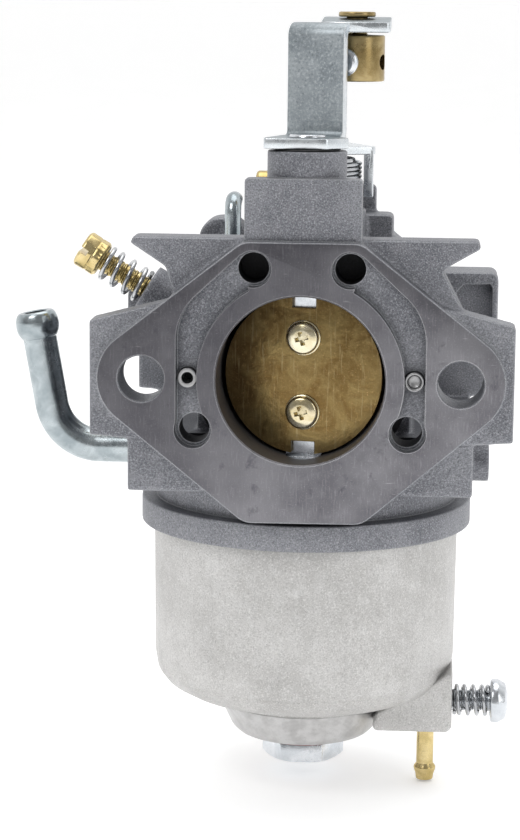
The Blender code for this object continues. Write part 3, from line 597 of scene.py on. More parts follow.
def bowl_machined_look():
    """The bowl's turned bosses: bright rings left by the tool."""
    n = Nodes("bowl_turned", 0.85)
    centred = n.math3("SUBTRACT", n.place, (BOWL[0], BOWL[1], 0.0))
    flat = n.math3("MULTIPLY", centred, (1.0, 1.0, 0.0))
    radius = n.math3("LENGTH", flat)
    along = n.math("ADD", radius, n.math("MULTIPLY", n.split(centred)["Z"], 1.3))
    rings = n.math("SINE", n.math("MULTIPLY", along, 13.0))
    patch = n.noise(2.5, 3.0, 0.6)
    grain = n.noise(0.3, 2.0, 0.6)
    colour = n.mix(n.ramp(patch, 0.3, 0.7), (0.44, 0.435, 0.43), (0.62, 0.615, 0.61))
    layers = [
        (rings, -0.2, 1.0, 0.3, (0.86, 0.86, 0.87)),
        (grain, 0.42, 0.24, 0.35, (0.34, 0.34, 0.35)),
        # painted shade: the turned bosses darken in narrow corners
        (n.painted_corner_shade(1.6), 0.7, 0.2, 0.5, (0.18, 0.18, 0.18)),
    ]
    colour = n.over(colour, layers)
    n.bump(n.math("ADD", n.math("MULTIPLY", rings, 0.35), grain), 0.035, 0.15)
    return n.finish(colour, n.ramp(patch, 0.3, 0.7, 0.3, 0.45))


def plated_look(name, dark, light, tint, rough, bump=0.01):
    """Plated or polished metal: cloudy tint, fine pits, rubbed edges and painted shade darkening the corners.
    """
    n = Nodes(name, 1.0)
    cloud = n.noise(4.0, 4.0, 0.6, 0.5)
    fine = n.noise(0.8, 3.0, 0.65)
    grain = n.noise(0.22, 2.0, 0.6)
    colour = n.mix(n.ramp(cloud, 0.3, 0.7), dark, light)
    colour = n.over(colour, [(fine, 0.45, 0.75, 0.35, tint)])
    # painted shade: narrow corners darken toward a quarter of the dark colour
    shadow = tuple(0.25 * c for c in dark)
    rubbed = tuple(min(1.0, 1.35 * c) for c in light)
    colour = n.over(colour, [(n.painted_corner_shade(1.0), 0.7, 0.2, 0.55, shadow)])
    colour = n.mix(n.math("MULTIPLY", n.edges(0.14), 0.4), colour, rubbed)
    n.bump(n.blend(fine, 0.6, grain), bump, 0.08)
    return n.finish(colour, n.ramp(n.blend(cloud, 0.5, fine), 0.3, 0.7, *rough))


def lever_look():
    """The choke lever: dull bluish zinc plate with an even fine speckle and bright edges."""
    n = Nodes("zinc_strip", 0.9)
    cloud = n.noise(7.0, 3.0, 0.55)
    grain = n.noise(0.45, 3.0, 0.75)
    fleck = n.noise(0.22, 2.0, 0.7)
    colour = n.mix(n.ramp(cloud, 0.3, 0.7), (0.27, 0.305, 0.325), (0.39, 0.425, 0.445))
    layers = [
        (grain, 0.5, 0.70, 0.6, (0.60, 0.64, 0.66)),
        (grain, 0.46, 0.30, 0.65, (0.16, 0.185, 0.20)),
        (fleck, 0.64, 0.78, 0.6, (0.82, 0.84, 0.85)),
    ]
    colour = n.over(colour, layers)
    colour = n.mix(n.math("MULTIPLY", n.edges(0.2), 0.75), colour, (0.86, 0.88, 0.90))
    n.bump(n.blend(grain, 0.6, fleck), 0.03, 0.1)
    return n.finish(colour, n.ramp(grain, 0.3, 0.7, 0.36, 0.52))


def plate_look():
    """The choke plate: old-gold brass with brown bloom, copper glints, fine scratches and a painted
    reflection darkening its left side.
    """
    n = Nodes("gold_chromate", 1.0)
    cloud = n.noise(5.0, 4.0, 0.6, 0.8)
    fine = n.noise(0.9, 4.0, 0.7)
    grain = n.noise(0.25, 2.0, 0.7)
    scratch = n.noise(0.4, 2.0, 0.6, 0.2, n.stretched((1.0, 1.0, 0.07)))
    sides = n.split(n.place)
    colour = n.mix(n.ramp(cloud, 0.3, 0.68), (0.17, 0.105, 0.036), (0.29, 0.21, 0.085))
    colour = n.over(colour, [(fine, 0.48, 0.78, 0.5, (0.44, 0.32, 0.14))])
    # painted reflection: the plate darkens to dark brown toward its left side
    painted_reflection_left = n.math("ADD", sides["X"], n.math("MULTIPLY", cloud, 6.0))
    layers = [
        (painted_reflection_left, -3.0, -9.0, 0.45, (0.10, 0.055, 0.02)),
        (grain, 0.58, 0.8, 0.5, (0.80, 0.50, 0.24)),
        (grain, 0.42, 0.22, 0.45, (0.16, 0.09, 0.03)),
        (scratch, 0.55, 0.8, 0.3, (0.72, 0.60, 0.34)),
    ]
    colour = n.over(colour, layers)
    n.bump(n.math("ADD", n.math("MULTIPLY", cloud, 1.0), n.math("MULTIPLY", fine, 0.25)), 0.12, 0.08)
    return n.finish(colour, n.ramp(fine, 0.3, 0.7, 0.28, 0.46))


def soft_look(name, dark, light, rough, size, bump):
    """Felt, fibre, rubber, plastic, or casting painted near-black as shade in its holes: a fine two-tone
    grain.
    """
    n = Nodes(name, 0.0)
    grain = n.noise(size, 4.0, 0.7)
    cloud = n.noise(size * 9, 3.0, 0.6)
    colour = n.mix(n.ramp(grain, 0.35, 0.68), dark, light)
    colour = n.over(colour, [(cloud, 0.45, 0.75, 0.4, light)])
    n.bump(grain, bump, 0.05)
    return n.finish(colour, n.ramp(grain, 0.3, 0.7, *rough))


LOOKS = {
    "casting": casting_look(),
    "machined": machined_look(),
    "bowl": bowl_look(),
    "bowl_turned": bowl_machined_look(),
    "lever_zinc": lever_look(),
    "gold": plate_look(),
}
PLATED = {  # material, dark, light and tint colours, roughness range, depth of the bump
    "zinc": ("zinc", (0.56, 0.59, 0.62), (0.78, 0.80, 0.83), (0.66, 0.70, 0.75), (0.16, 0.30)),
    "chrome": ("zinc_tube", (0.30, 0.345, 0.365), (0.52, 0.57, 0.59), (0.42, 0.47, 0.50), (0.18, 0.30)),
    "white_zinc": ("zinc_lever", (0.60, 0.64, 0.67), (0.74, 0.77, 0.79), (0.84, 0.87, 0.89), (0.2, 0.36)),
    "spring": ("spring_wire", (0.42, 0.43, 0.45), (0.62, 0.63, 0.64), (0.55, 0.56, 0.57), (0.16, 0.28)),
    "brass": ("brass", (0.50, 0.38, 0.15), (0.78, 0.64, 0.34), (0.66, 0.52, 0.25), (0.18, 0.3), 0.004),
    # the clamp barrel's brass, a copy painted darker as shade
    "dull_brass": (
        "dull_brass", (0.26, 0.19, 0.08), (0.47, 0.37, 0.19), (0.38, 0.27, 0.12), (0.24, 0.36), 0.004
    ),
    "chromate": (
        "yellow_zinc", (0.60, 0.50, 0.28), (0.88, 0.82, 0.62), (0.84, 0.68, 0.52), (0.14, 0.26), 0.004
    ),
    "jet": ("jet_metal", (0.30, 0.30, 0.31), (0.46, 0.46, 0.46), (0.40, 0.39, 0.37), (0.3, 0.44)),
}
SOFT = {  # material, dark and light colours, roughness range, grain in millimetres, depth of the bump
    # near-black casting for the walls inside the fuel and air passages: painted shade for the dark holes
    "painted_passage_shade": ("passage_casting_painted_shade", (0.012, 0.012, 0.014), (0.035, 0.035, 0.04), (0.6, 0.8), 0.5, 0.03),
    "felt": ("felt", (0.035, 0.035, 0.035), (0.10, 0.10, 0.10), (0.85, 0.98), 0.25, 0.08),
    "fibre": ("red_fibre", (0.20, 0.045, 0.03), (0.30, 0.09, 0.06), (0.7, 0.9), 0.3, 0.05),
    "rubber": ("black_rubber", (0.012, 0.012, 0.012), (0.03, 0.03, 0.03), (0.5, 0.7), 0.4, 0.02),
    "float": ("float_plastic", (0.03, 0.03, 0.033), (0.06, 0.06, 0.065), (0.35, 0.5), 0.8, 0.01),
}
for key, values in PLATED.items():
    LOOKS[key] = plated_look(*values)
for key, values in SOFT.items():
    LOOKS[key] = soft_look(*values)


# --- body -------------------------------------------------------------------------------------

LENGTH = 60.0
FLANGE = 8.0
PAD = 2.2
THROAT_R = 13.8
MIXTURE_SEAT = Vector((-27.6, 22.0, 12.2))
MIXTURE_TILT = math.radians(32.0)
MIXTURE_AXIS = Vector((-math.cos(MIXTURE_TILT), 0, math.sin(MIXTURE_TILT)))
IDLE_SEAT = Vector((-6.0, 56.8, 27.4))
ELBOW_Y = 26.0
ELBOW_Z = -15.9
VENT = (-13.2, 26.0)
SIDE_PLUG = (24.0, -17.1)  # y and z
STUD_X = 26.0
UPPER_PASSAGE = (7.85, 18.2)  # x and z of the fuel and air passages on the right of the bore
LOWER_PASSAGE = (17.4, -8.3)
PASSAGE_R = 2.5
PASSAGE_DEPTH = 9.0
CHANNEL_DEPTH = 2.5
JET = (18.5, 0.1)  # x and z of the jet and the plug in the channels
HINGE = (51.5, -27.4)  # y and z of the float pin
HINGE_X = 6.6  # from the bowl's axis to the middle of each pin lug


def flange_outline(ear=25.0):
    """The machined face: a lozenge with round ears and flattened top and bottom."""
    top, bottom = [(8.2, 18.5, 4.1), (-8.2, 18.5, 4.1)], [(-7.6, -19.6, 4.0), (8.8, -19.4, 4.1)]
    return around([(ear, 0.0, 8.3), *top, (-ear, 0.0, 8.3), *bottom])


def ear_outline(side, reach):
    """The cast shoulder behind one ear, seen from the air side."""
    low = -9.8
    outline = [(16.0, low - 1.5), (reach, low), (reach, 9.2), (20.0, 13.0), (16.0, 13.0)]
    return [(side * x, z) for x, z in outline]


def wing_outline():
    """The pointed top ledge: flat above, sloping up to both tips below."""
    right = [(16.0, 8.0), (26.4, 11.0), (22.7, 18.1), (28.9, 21.7), (28.4, 22.9)]
    left = [(-27.7, 22.9), (-28.2, 21.8), (-22.4, 18.0), (-21.0, 13.0), (-16.0, 8.0)]
    return right + left


def cast_lumps():
    lumps = []
    for start, end, reach in ((PAD - 0.2, FLANGE, 34.7), (LENGTH - FLANGE, LENGTH - 0.6, 32.5)):
        for side in (-1, 1):
            lumps.append(prism(ear_outline(side, reach), start, end))
    lumps.append(prism(flange_outline(24.4), LENGTH - FLANGE, LENGTH - 0.4))
    lumps.append(prism(flange_outline(24.8), 1.2, 5.0))
    lumps.append(rod(18.2, (0, 1.0, 0), (0, LENGTH - 1, 0), SEGMENTS))
    lumps.append(prism(wing_outline(), 3.6, 9.7))
    lumps.append(box((-9.4, 0.8, 12), (9.6, 5.7, 32.7)))
    lumps.append(rod(6.9, (CHOKE_X, CHOKE_Y, 12), (CHOKE_X, CHOKE_Y, 31.5), SEGMENTS))
    lumps.append(box((-28.6, 3.3, -19.3), (28.3, 54.0, -10.4)))
    lumps.append(box((-17.9, 12, -12), (17.9, 54.0, 5)))
    lumps.append(rod(26.2, (*BOWL, -26), (*BOWL, -18), SEGMENTS))
    lumps.append(rounded_box((-19.4, 30.0, 8), (-11.0, 38.0, 23.7), 3.6))
    lumps.append(box((-16.0, 21.0, 8), (-9.0, 31.0, 20.4)))
    lumps.append(rounded_box((-31.3, 25.6, 5.4), (-14.0, 36.0, 12.0), 1.4))
    lumps.append(rounded_box((19.0, 24.0, 5.6), (32.3, 34.0, 15.6), 1.3))
    lumps.append(box((12.0, 24.5, -4.0), (20.5, 33.5, 12.0)))
    lumps.append(rod(3.2, (20.0, *SIDE_PLUG), (31.4, *SIDE_PLUG)))
    lumps.append(rod(8.7, (CHOKE_X, THROTTLE_Y, 12), (CHOKE_X, THROTTLE_Y, 24.4)))
    lumps.append(rod(6.7, (CHOKE_X, THROTTLE_Y, 20), (CHOKE_X, THROTTLE_Y, THROTTLE_BOSS_TOP)))
    lumps.append(rounded_box((5.5, 49.6, 12.0), (13.9, 57.1, 23.0), 1.0))
    lumps.append(rounded_box((5.5, 56.8, 20.0), (10.6, 59.3, 27.8), 0.8))
    x, y, z = IDLE_SEAT
    lumps.append(rounded_box((x, y - 2.1, 18.0), (x + 3.6, y + 2.5, z + 2.0), 0.9, "X"))
    lumps.append(rod(4.4, MIXTURE_SEAT, MIXTURE_SEAT - MIXTURE_AXIS * 16))
    return lumps


def channels(side):
    """A jet channel sunk in the air-side face, from the upper hole round to the lower one."""
    inner = arc((0, 0), 16.9, 60, -20, 28)
    outer = soften_between([(20.3, -8.4), (20.3, 8.4), (18.6, 12.4), (9.9, 20.5)], 2.2, 6)
    cuts = [prism([(side * x, z) for x, z in inner + outer], -1.0, CHANNEL_DEPTH)]
    for radius, x, z in ((3.0, *UPPER_PASSAGE), (3.05, LOWER_PASSAGE[0] + 0.1, LOWER_PASSAGE[1])):
        cuts.append(rod(radius, (side * x, -1, z), (side * x, CHANNEL_DEPTH, z), 40))
    return cuts


def body_cuts():
    bore = [(0, -1), (THROAT_R + 1.2, -1), (THROAT_R, 0.25), (THROAT_R, 15), (12.6, 20), (10.5, 27)]
    bore += [(10.5, 29), (12.0, 36), (12.0, LENGTH - 0.3), (13.2, LENGTH + 1), (0, LENGTH + 1)]
    hole = [(0, -1), (4.8, -1), (3.75, 0.25), (3.75, LENGTH - 0.25), (4.8, LENGTH + 1), (0, LENGTH + 1)]
    cuts = [turned(bore, SEGMENTS, (0, 0, 0), ALONG_BORE)]
    for side in (-1, 1):
        cuts.append(turned(hole, MEDIUM, (side * STUD_X, 0, 0), ALONG_BORE))
        cuts += channels(side)
        for x, z in (UPPER_PASSAGE, LOWER_PASSAGE):
            cuts.append(rod(PASSAGE_R, (side * x, -1, z), (side * x, PASSAGE_DEPTH, z), 40))
        cuts.append(rod(1.7, (side * JET[0], 1, JET[1]), (side * JET[0], 6.4, JET[1]), 40))
        centre = BOWL[0] + side * HINGE_X
        cuts.append(rod(1.1, (centre - 3, *HINGE), (centre + 3, *HINGE), SMALL))
    for y in (CHOKE_Y, THROTTLE_Y):
        cuts.append(rod(3.05, (CHOKE_X, y, SHAFT_LOW - 0.6), (CHOKE_X, y, 40)))
    chamber = [(8.6, -33), (23.6, -33), (23.6, -21.5), (8.6, -21.5)]
    cuts.append(turned(chamber, SEGMENTS, (*BOWL, 0)))
    cuts.append(rod(3.2, (*BOWL, -61), (*BOWL, -9)))
    cuts.append(rod(1.95, MIXTURE_SEAT + MIXTURE_AXIS, MIXTURE_SEAT - MIXTURE_AXIS * 14, SMALL))
    x, y, z = IDLE_SEAT
    cuts.append(rod(1.7, (x - 1, y, z), (x + 5, y, z), SMALL))
    cuts.append(rod(3.0, (-40, ELBOW_Y, ELBOW_Z), (-20.0, ELBOW_Y, ELBOW_Z), SMALL))
    cuts.append(rod(1.5, (*VENT, 8), (*VENT, 22), SMALL))
    cuts.append(rod(2.5, (BOWL[0], 43.5, -24), (BOWL[0], 43.5, -16.5), SMALL))
    cuts.append(rod(2.0, (12.0, 33.0, -24), (12.0, 33.0, -16.5), SMALL))
    cuts.append(rod(2.4, (33, *SIDE_PLUG), (28.6, *SIDE_PLUG), SMALL))
    scoop = [(26.9, 6.0), (25.0, 12.0), (26.4, 13.6), (31.0, 13.7), (31.3, 13.0), (31.3, 6.0)]
    cuts.append(prism(scoop, 20.0, 26.0, "Y", 0.3, 2))
    return cuts


def machined_additions():
    """The faces and turned parts that keep crisp edges."""
    added = [prism(flange_outline(), 0.0, PAD, "Y", 0.22, 2)]
    added.append(prism(flange_outline(24.2), LENGTH - 1.5, LENGTH, "Y", 0.2, 2))
    ring = [(20.0, -28.9), (28.8, -28.9), (28.8, -24.4), (20.0, -24.4)]
    added.append(lathe(ring, 0.35, SEGMENTS, (*BOWL, 0)))
    added.append(rod(6.5, (CHOKE_X, CHOKE_Y, 30), (CHOKE_X, CHOKE_Y, BOSS_TOP), SEGMENTS, 0.35))
    added.append(rod(6.6, (*BOWL, -60.0), (*BOWL, -16), MEDIUM, 0.4))
    for side in (-1, 1):
        centre = BOWL[0] + side * HINGE_X
        added.append(box((centre - 1.4, 49.4, -30.6), (centre + 1.4, 53.6, -18), 0.3))
    return added


def is_machined(face):
    """Faces left by a cutter: the two flange faces, the bore and the choke boss's top."""
    middle = face.calc_center_median()
    if middle.y < 0.02 or middle.y > LENGTH - 0.02:
        return True
    if math.hypot(middle.x, middle.z) < THROAT_R + 0.4:
        return True
    over_boss = math.hypot(middle.x - CHOKE_X, middle.y - CHOKE_Y) < 7 and middle.z > BOSS_TOP - 0.9
    return over_boss and face.normal.z > 0.99


def in_passage(face):
    """The walls and floors of the four fuel and air passages that open in the air-side face."""
    middle = face.calc_center_median()
    if not CHANNEL_DEPTH < middle.y < PASSAGE_DEPTH + 0.2:
        return False
    holes = (UPPER_PASSAGE, LOWER_PASSAGE)
    return any(math.hypot(abs(middle.x) - x, middle.z - z) < PASSAGE_R + 0.1 for x, z in holes)


def make_body():
    solid = cut(cast(cast_lumps()), box((-40, -5, -30), (40, PAD - 0.6, 40)))
    solid = joined(solid, *machined_additions())
    solid = cut(solid, *body_cuts())
    # walls inside the fuel and air passages take the near-black casting, painted shade for the dark holes
    for face in solid.faces:
        face.material_index = 2 if in_passage(face) else 1 if is_machined(face) else 0
    looks = ("casting", "machined", "painted_passage_shade")
    piece("carburetor_body_casting", solid, looks, BODY, "body")


# --- choke ------------------------------------------------------------------------------------


def half_shaft(y, top, shoulder, rivet_r, flat_half, angle):
    """A vertical shaft with a flat for its butterfly plate and a riveted upper end."""
    head = top + 0.5
    profile = [(0, SHAFT_LOW), (3.0, SHAFT_LOW), (3.0, shoulder), (2.4, shoulder), (2.4, top + 0.03)]
    profile += [(rivet_r, top + 0.03), (rivet_r * 0.93, head), (rivet_r * 0.6, head + 0.05), (0, head - 0.15)]
    flat = box((CHOKE_X - 4, y - 4, -flat_half), (CHOKE_X + 4, y + 0.05, flat_half))
    shaft = lathe(profile, 0.15, MEDIUM, (CHOKE_X, y, 0))
    return turn_about(cut(shaft, flat), (CHOKE_X, y), angle)


def butterfly(y, radius, notch, thick, angle):
    """A round plate on the air side of its shaft's flat, notched at top and bottom."""
    outline = []
    notch_half = 2.0
    wide = math.degrees(math.asin(notch_half / radius))
    for middle in (0, 180):
        outline += arc((CHOKE_X, 0), radius, middle - 90 + wide, middle + 90 - wide, 48)
        sign = 1 if middle == 0 else -1
        inward = (radius - notch) * sign
        outline += [(CHOKE_X + notch_half * sign, inward), (CHOKE_X - notch_half * sign, inward)]
    bm = prism(outline, y - thick - 0.05, y - 0.05, "Y", 0.12, 2)
    return turn_about(bm, (CHOKE_X, y), angle)


def cross_blades(seat, axis, half_long, half_wide, low, top, turn, taper=(1.0, 1.0)):
    """The two blades of a cross recess. taper scales the length and width of their inner ends."""
    blades = []
    for angle in (turn, turn + 90):
        blade = box((-half_long, -half_wide, low), (half_long, half_wide, top))
        for vert in blade.verts:
            if vert.co.z < 0.5 * (low + top):
                vert.co.x *= taper[0]
                vert.co.y *= taper[1]
        spin = Matrix.Rotation(math.radians(angle), 3, "Z")
        bmesh.ops.rotate(blade, matrix=spin, verts=blade.verts)
        blades.append(placed(blade, seat, axis))
    return blades


def pan_screw(y, z, angle):
    """A pan head with a cross recess that narrows inwards, on a washer that shows round its rim."""
    seat, axis = (CHOKE_X, y - 1.05, z), (0, -1, 0)
    head = [(0, 0.35), (2.75, 0.35), (2.75, 0.85), (2.42, 1.25), (1.5125, 1.52), (0, 1.6)]
    washer = [(0, 0.0), (2.95, 0.0), (2.95, 0.3), (2.4, 0.45), (0, 0.45)]
    blades = cross_blades(seat, axis, 1.8, 0.48, 0.6, 3.0, 15, (0.4, 0.6))
    solid = cut(lathe(head, 0.18, MEDIUM, seat, axis), *blades)
    solid = joined(solid, lathe(washer, 0.1, MEDIUM, seat, axis))
    return turn_about(solid, (CHOKE_X, y), angle)


def bent_strip(line, thick):
    """The outline of a strip of even thickness whose lower face follows this line."""
    upper = []
    for index, (y, z) in enumerate(line):
        before = Vector(line[max(index - 1, 0)])
        after = Vector(line[min(index + 1, len(line) - 1)])
        along = (after - before).normalized()
        upper.append((y - along.y * thick, z + along.x * thick))
    return list(line) + upper[::-1]


LEVER_Z = 37.3
SHEET = 1.7
STRAP_TOP = 57.4
TAB_NEAR = 14.4
TAB_FAR = 26.6
TAB_SLOPE = 0.065
CLAMP = (7.65, 22.0)


def upper_tab():
    """The flat tab that carries the cable clamp, rising a little toward the engine."""
    corners = [(6.0, TAB_NEAR), (13.4, TAB_NEAR), (13.4, TAB_FAR), (1.9, TAB_FAR), (1.9, TAB_NEAR + 1.9)]
    bm = prism(soften_between(corners, 1.0, 5), 55.8, 57.5, "Z", 0.2, 2)
    for vert in bm.verts:
        vert.co.z += TAB_SLOPE * (vert.co.y - TAB_NEAR)
    return bm


def lever_mesh():
    """Flat foot on the shaft, strap standing at its rear edge, and a tab bent back on top."""
    x, y = CHOKE_X - 1.3, CHOKE_Y
    foot = [(-4.7, -6.8), (5.0, -3.3), (6.6, 2.1), (3.8, 4.0), (-6.4, 4.0), (-5.8, -4.4)]
    outline = soften([(CHOKE_X + a, y + b) for a, b in foot], 0.7, 4)
    plate = prism(outline, LEVER_Z, LEVER_Z + SHEET, "Z", 0.2, 2)
    foot_bend = arc((y + 4.6, LEVER_Z + 2.6), 2.6, -90, 0, 12)
    tab_bend = arc((y + 7.8, STRAP_TOP - SHEET - 0.6), 0.6, 180, 90, 10)
    line = [(y + 2.0, LEVER_Z)] + foot_bend + tab_bend + [(y + 9.4, STRAP_TOP - SHEET)]
    strap = prism(bent_strip(line, SHEET), x - 5.1, x + 5.1, "X", 0.22, 2)
    return joined(turn_about(joined(plate, strap), (CHOKE_X, CHOKE_Y), CHOKE_REST), upper_tab())


def make_choke():
    top = LEVER_Z + SHEET
    centre = (CHOKE_X, CHOKE_Y)
    shaft = half_shaft(CHOKE_Y, top, BOSS_TOP, 3.05, THROAT_R + 0.2, PLATE_REST)
    piece("choke_spindle", shaft, "zinc", "choke", "choke_shaft")
    plate = butterfly(CHOKE_Y, THROAT_R - 0.45, 2.2, 1.0, PLATE_REST)
    piece("choke_butterfly", plate, "gold", "choke", "choke_plate")
    for name, z in (("upper", 6.2), ("lower", -6.2)):
        screw = pan_screw(CHOKE_Y, z, PLATE_REST)
        piece("choke_screw_" + name, screw, "chromate", "choke", "choke_plate_screw_" + name)
    shaft_hole = rod(2.45, (*centre, LEVER_Z - 2), (*centre, top + 2), 40)
    clamp_hole = rod(1.9, (*CLAMP, STRAP_TOP - 5), (*CLAMP, STRAP_TOP + 3), 40)
    lever = cut(lever_mesh(), shaft_hole, clamp_hole)
    across = Vector((math.cos(CHOKE_REST), math.sin(CHOKE_REST), 0))
    for face in lever.faces:
        height = face.calc_center_median().z
        sheared = abs(face.normal.z) < 0.4 and (height < LEVER_Z + SHEET or height > STRAP_TOP - 1.2)
        face.material_index = 1 if sheared or abs(face.normal.dot(across)) > 0.75 else 0
    piece("choke_lever_strap", lever, ("lever_zinc", "white_zinc"), "choke", "choke_lever")
    washer = [(3.1, BOSS_TOP + 0.1), (5.4, BOSS_TOP + 0.1), (5.4, LEVER_Z - 0.1), (3.1, LEVER_Z - 0.1)]
    piece("choke_felt", lathe(washer, 0.1, MEDIUM, (*centre, 0)), "felt", BODY, "choke_washer")
    make_clamp()


def make_clamp():
    """The cable clamp: a brass barrel hung in the tab by its neck, cross-bored, with a set screw."""
    under = STRAP_TOP - SHEET - 0.3
    seat = STRAP_TOP + 0.9
    low = under - 7.7
    profile = [(0, low), (4.7, low), (4.7, under - 0.1), (1.7, under), (1.7, seat), (3.1, seat)]
    profile += [(3.1, seat + 0.85), (0, seat + 0.85)]
    way = math.radians(-18.0)
    across = Vector((math.cos(way), math.sin(way), 0))
    thread_way = Vector((across.y, -across.x, 0))
    centre = Vector((*CLAMP, low + 3.2))
    cable_hole = rod(1.3, centre - across * 9, centre + across * 9, 40)
    screw_hole = rod(1.6, centre + thread_way * 0.6, centre + thread_way * 9, SMALL)
    swivel = cut(lathe(profile, 0.3, SEGMENTS, (*CLAMP, 0)), cable_hole, screw_hole)
    # the barrel takes the darker brass copy, painted shade
    piece("cable_swivel", swivel, "dull_brass", "cable_clamp", "cable_clamp_swivel")
    screw = [(0, 1.6), (1.5, 1.6), (1.5, 4.9), (2.3, 4.9), (2.3, 5.9), (1.7, 6.4), (0, 6.4)]
    slot = placed(box((-0.35, -5, 5.6), (0.35, 5, 8)), centre, thread_way)
    body = cut(lathe(screw, 0.2, SMALL, centre, thread_way), slot)
    piece("cable_set_screw", body, "zinc", "clamp_screw", "cable_clamp_screw")


# --- throttle ---------------------------------------------------------------------------------


def make_throttle():
    y, x = THROTTLE_Y, CHOKE_X
    boss_top = THROTTLE_BOSS_TOP
    low = boss_top + 0.6
    top = low + 1.4
    shaft = half_shaft(y, top, boss_top, 2.8, 12.2, THROTTLE_REST)
    piece("throttle_spindle", shaft, "zinc", "throttle", "throttle_shaft")
    plate = butterfly(y, 11.6, 0.6, 1.0, THROTTLE_REST)
    piece("throttle_butterfly", plate, "brass", "throttle", "throttle_plate")
    for name, z in (("upper", 5.4), ("lower", -5.4)):
        screw = pan_screw(y, z, THROTTLE_REST)
        node = "throttle_plate_screw_" + name
        piece("throttle_screw_" + name, screw, "chromate", "throttle", node)
    rod_end = (x - 1.5, y + 17)
    outline = around([(x, y, 5.4), (x + 8.9, y - 0.8, 1.3), (*rod_end, 3.6)], 18)
    finger = box((8.5, y - 2.0, 26.4), (10.2, y + 0.9, low + 0.7), 0.2)
    stop = box((x, y + 8.6, 25.2), (x + 1.5, y + 10.7, low + 0.7), 0.2)
    shaft_hole = rod(2.45, (x, y, low - 2), (x, y, top + 2), 40)
    rod_hole = rod(1.5, (*rod_end, low - 2), (*rod_end, top + 2), SMALL)
    lever = cut(joined(prism(outline, low, top, "Z", 0.18), finger, stop), shaft_hole, rod_hole)
    piece("throttle_arm", lever, "white_zinc", "throttle", "throttle_lever")
    washer = [(3.1, boss_top + 0.1), (5.2, boss_top + 0.1), (5.2, low - 0.1), (3.1, low - 0.1)]
    piece("throttle_felt", lathe(washer, 0.12, MEDIUM, (x, y, 0)), "felt", BODY, "throttle_washer")
    line = coil(7.55, 8.2, 10.9)
    spring("throttle_coil_spring", "throttle_return_spring", line, 0.34, (x, y, 24.8), (0, 0, 1))


# --- screws with springs ----------------------------------------------------------------------

DRAIN_SEAT = Vector((26.0, 24.0, -59.4))
NIPPLE = (21.5, 27.0)
WIRE_SIDES = 12


def slotted(parts, seat, axis, slot, deep, round_by, shape=None):
    """A screw turned to a profile of (radius, height) out of its seat, with a slot in its head."""
    top = parts[-1][1]
    across = placed(box((-slot, -9, top - deep), (slot, 9, top + 1)), seat, axis)
    return cut(lathe(parts, round_by, 72, seat, axis, shape), across)


def spring(name, node, line, wire, seat, axis):
    """A coil spring wound along this line, which starts at its seat."""
    piece(name, swept(moved(line, seat, axis), wire, WIRE_SIDES), "spring", BODY, node)


def make_mixture_screw():
    seat, axis = MIXTURE_SEAT, MIXTURE_AXIS

    def facets(turn, height):
        return 1.0 - (0.035 * abs(math.sin(6 * turn)) if 9.3 < height < 12.3 else 0.0)

    parts = [(0, 8.7), (2.7, 8.7), (3.2, 9.2), (3.2, 10.4), (3.05, 10.6)]
    parts += [(3.2, 10.8), (3.2, 12.6), (2.8, 13.0), (0, 13.0)]
    head = slotted(parts, seat, axis, 0.5, 1.5, 0.18, facets)
    shank = thread(1.85, 0.22, 0.7, -7.5, 8.9, seat, axis)
    point = turned([(0, -13.5), (0.7, -11.0), (1.6, -7.3), (0, -7.3)], SMALL, seat, axis)
    piece("mixture_adjuster", joined(head, shank, point), "brass", "mixture_screw", "mixture_screw")
    line = coil(2.75, 7.8, 4.3, 0.75, 0.42)
    spring("mixture_coil_spring", "mixture_screw_spring", line, 0.4, seat + axis * 0.52, axis)


def make_idle_screw():
    seat, axis = IDLE_SEAT, Vector((-1, 0, 0))
    parts = [(0, 3.0), (2.3, 3.0), (2.7, 3.3), (2.7, 5.0), (2.3, 5.4), (0, 5.4)]
    head = slotted(parts, seat, axis, 0.45, 1.3, 0.2)
    shank = thread(1.6, 0.2, 0.6, -5.5, 3.2, seat, axis)
    tip = turned([(0, -6.1), (1.1, -6.1), (1.35, -5.4), (0, -5.4)], SMALL, seat, axis)
    piece("idle_adjuster", joined(head, shank, tip), "brass", "idle_speed_screw", "idle_speed_screw")
    line = coil(2.25, 2.1, 2.5)
    spring("idle_coil_spring", "idle_speed_spring", line, 0.4, seat + axis * 0.55, axis)


def make_drain():
    seat, axis = DRAIN_SEAT, Vector((1, 0, 0))
    parts = [(0, 6.6), (3.4, 6.6), (3.8, 6.9), (3.8, 8.0), (3.1, 9.3), (1.6, 9.7), (0, 9.75)]
    blades = cross_blades(seat, axis, 1.9, 0.45, 8.5, 12.0, 25)
    head = cut(lathe(parts, 0.3, 72, seat, axis), *blades)
    shank = thread(1.9, 0.24, 0.7, -7.6, 6.8, seat, axis)
    tip = turned([(0, -9.5), (1.6, -7.5), (0, -7.5)], SMALL, seat, axis)
    piece("drain_plug_screw", joined(head, shank, tip), "zinc", "drain_screw", "drain_screw")
    line = coil(2.45, 5.8, 4.6, 0.8, 0.36)
    spring("drain_coil_spring", "drain_screw_spring", line, 0.34, seat + axis * 0.5, axis)
    low = -74.8
    outer = [(0.9, low), (1.5, low), (1.62, low + 0.9), (1.95, low + 1.9), (1.95, low + 2.3)]
    outer += [(1.5, low + 2.9), (1.5, -62.6), (0.9, -62.6)]
    piece("drain_tube", lathe(outer, 0.15, 48, (*NIPPLE, 0)), "brass", BODY, "drain_nipple")


# --- fuel side --------------------------------------------------------------------------------


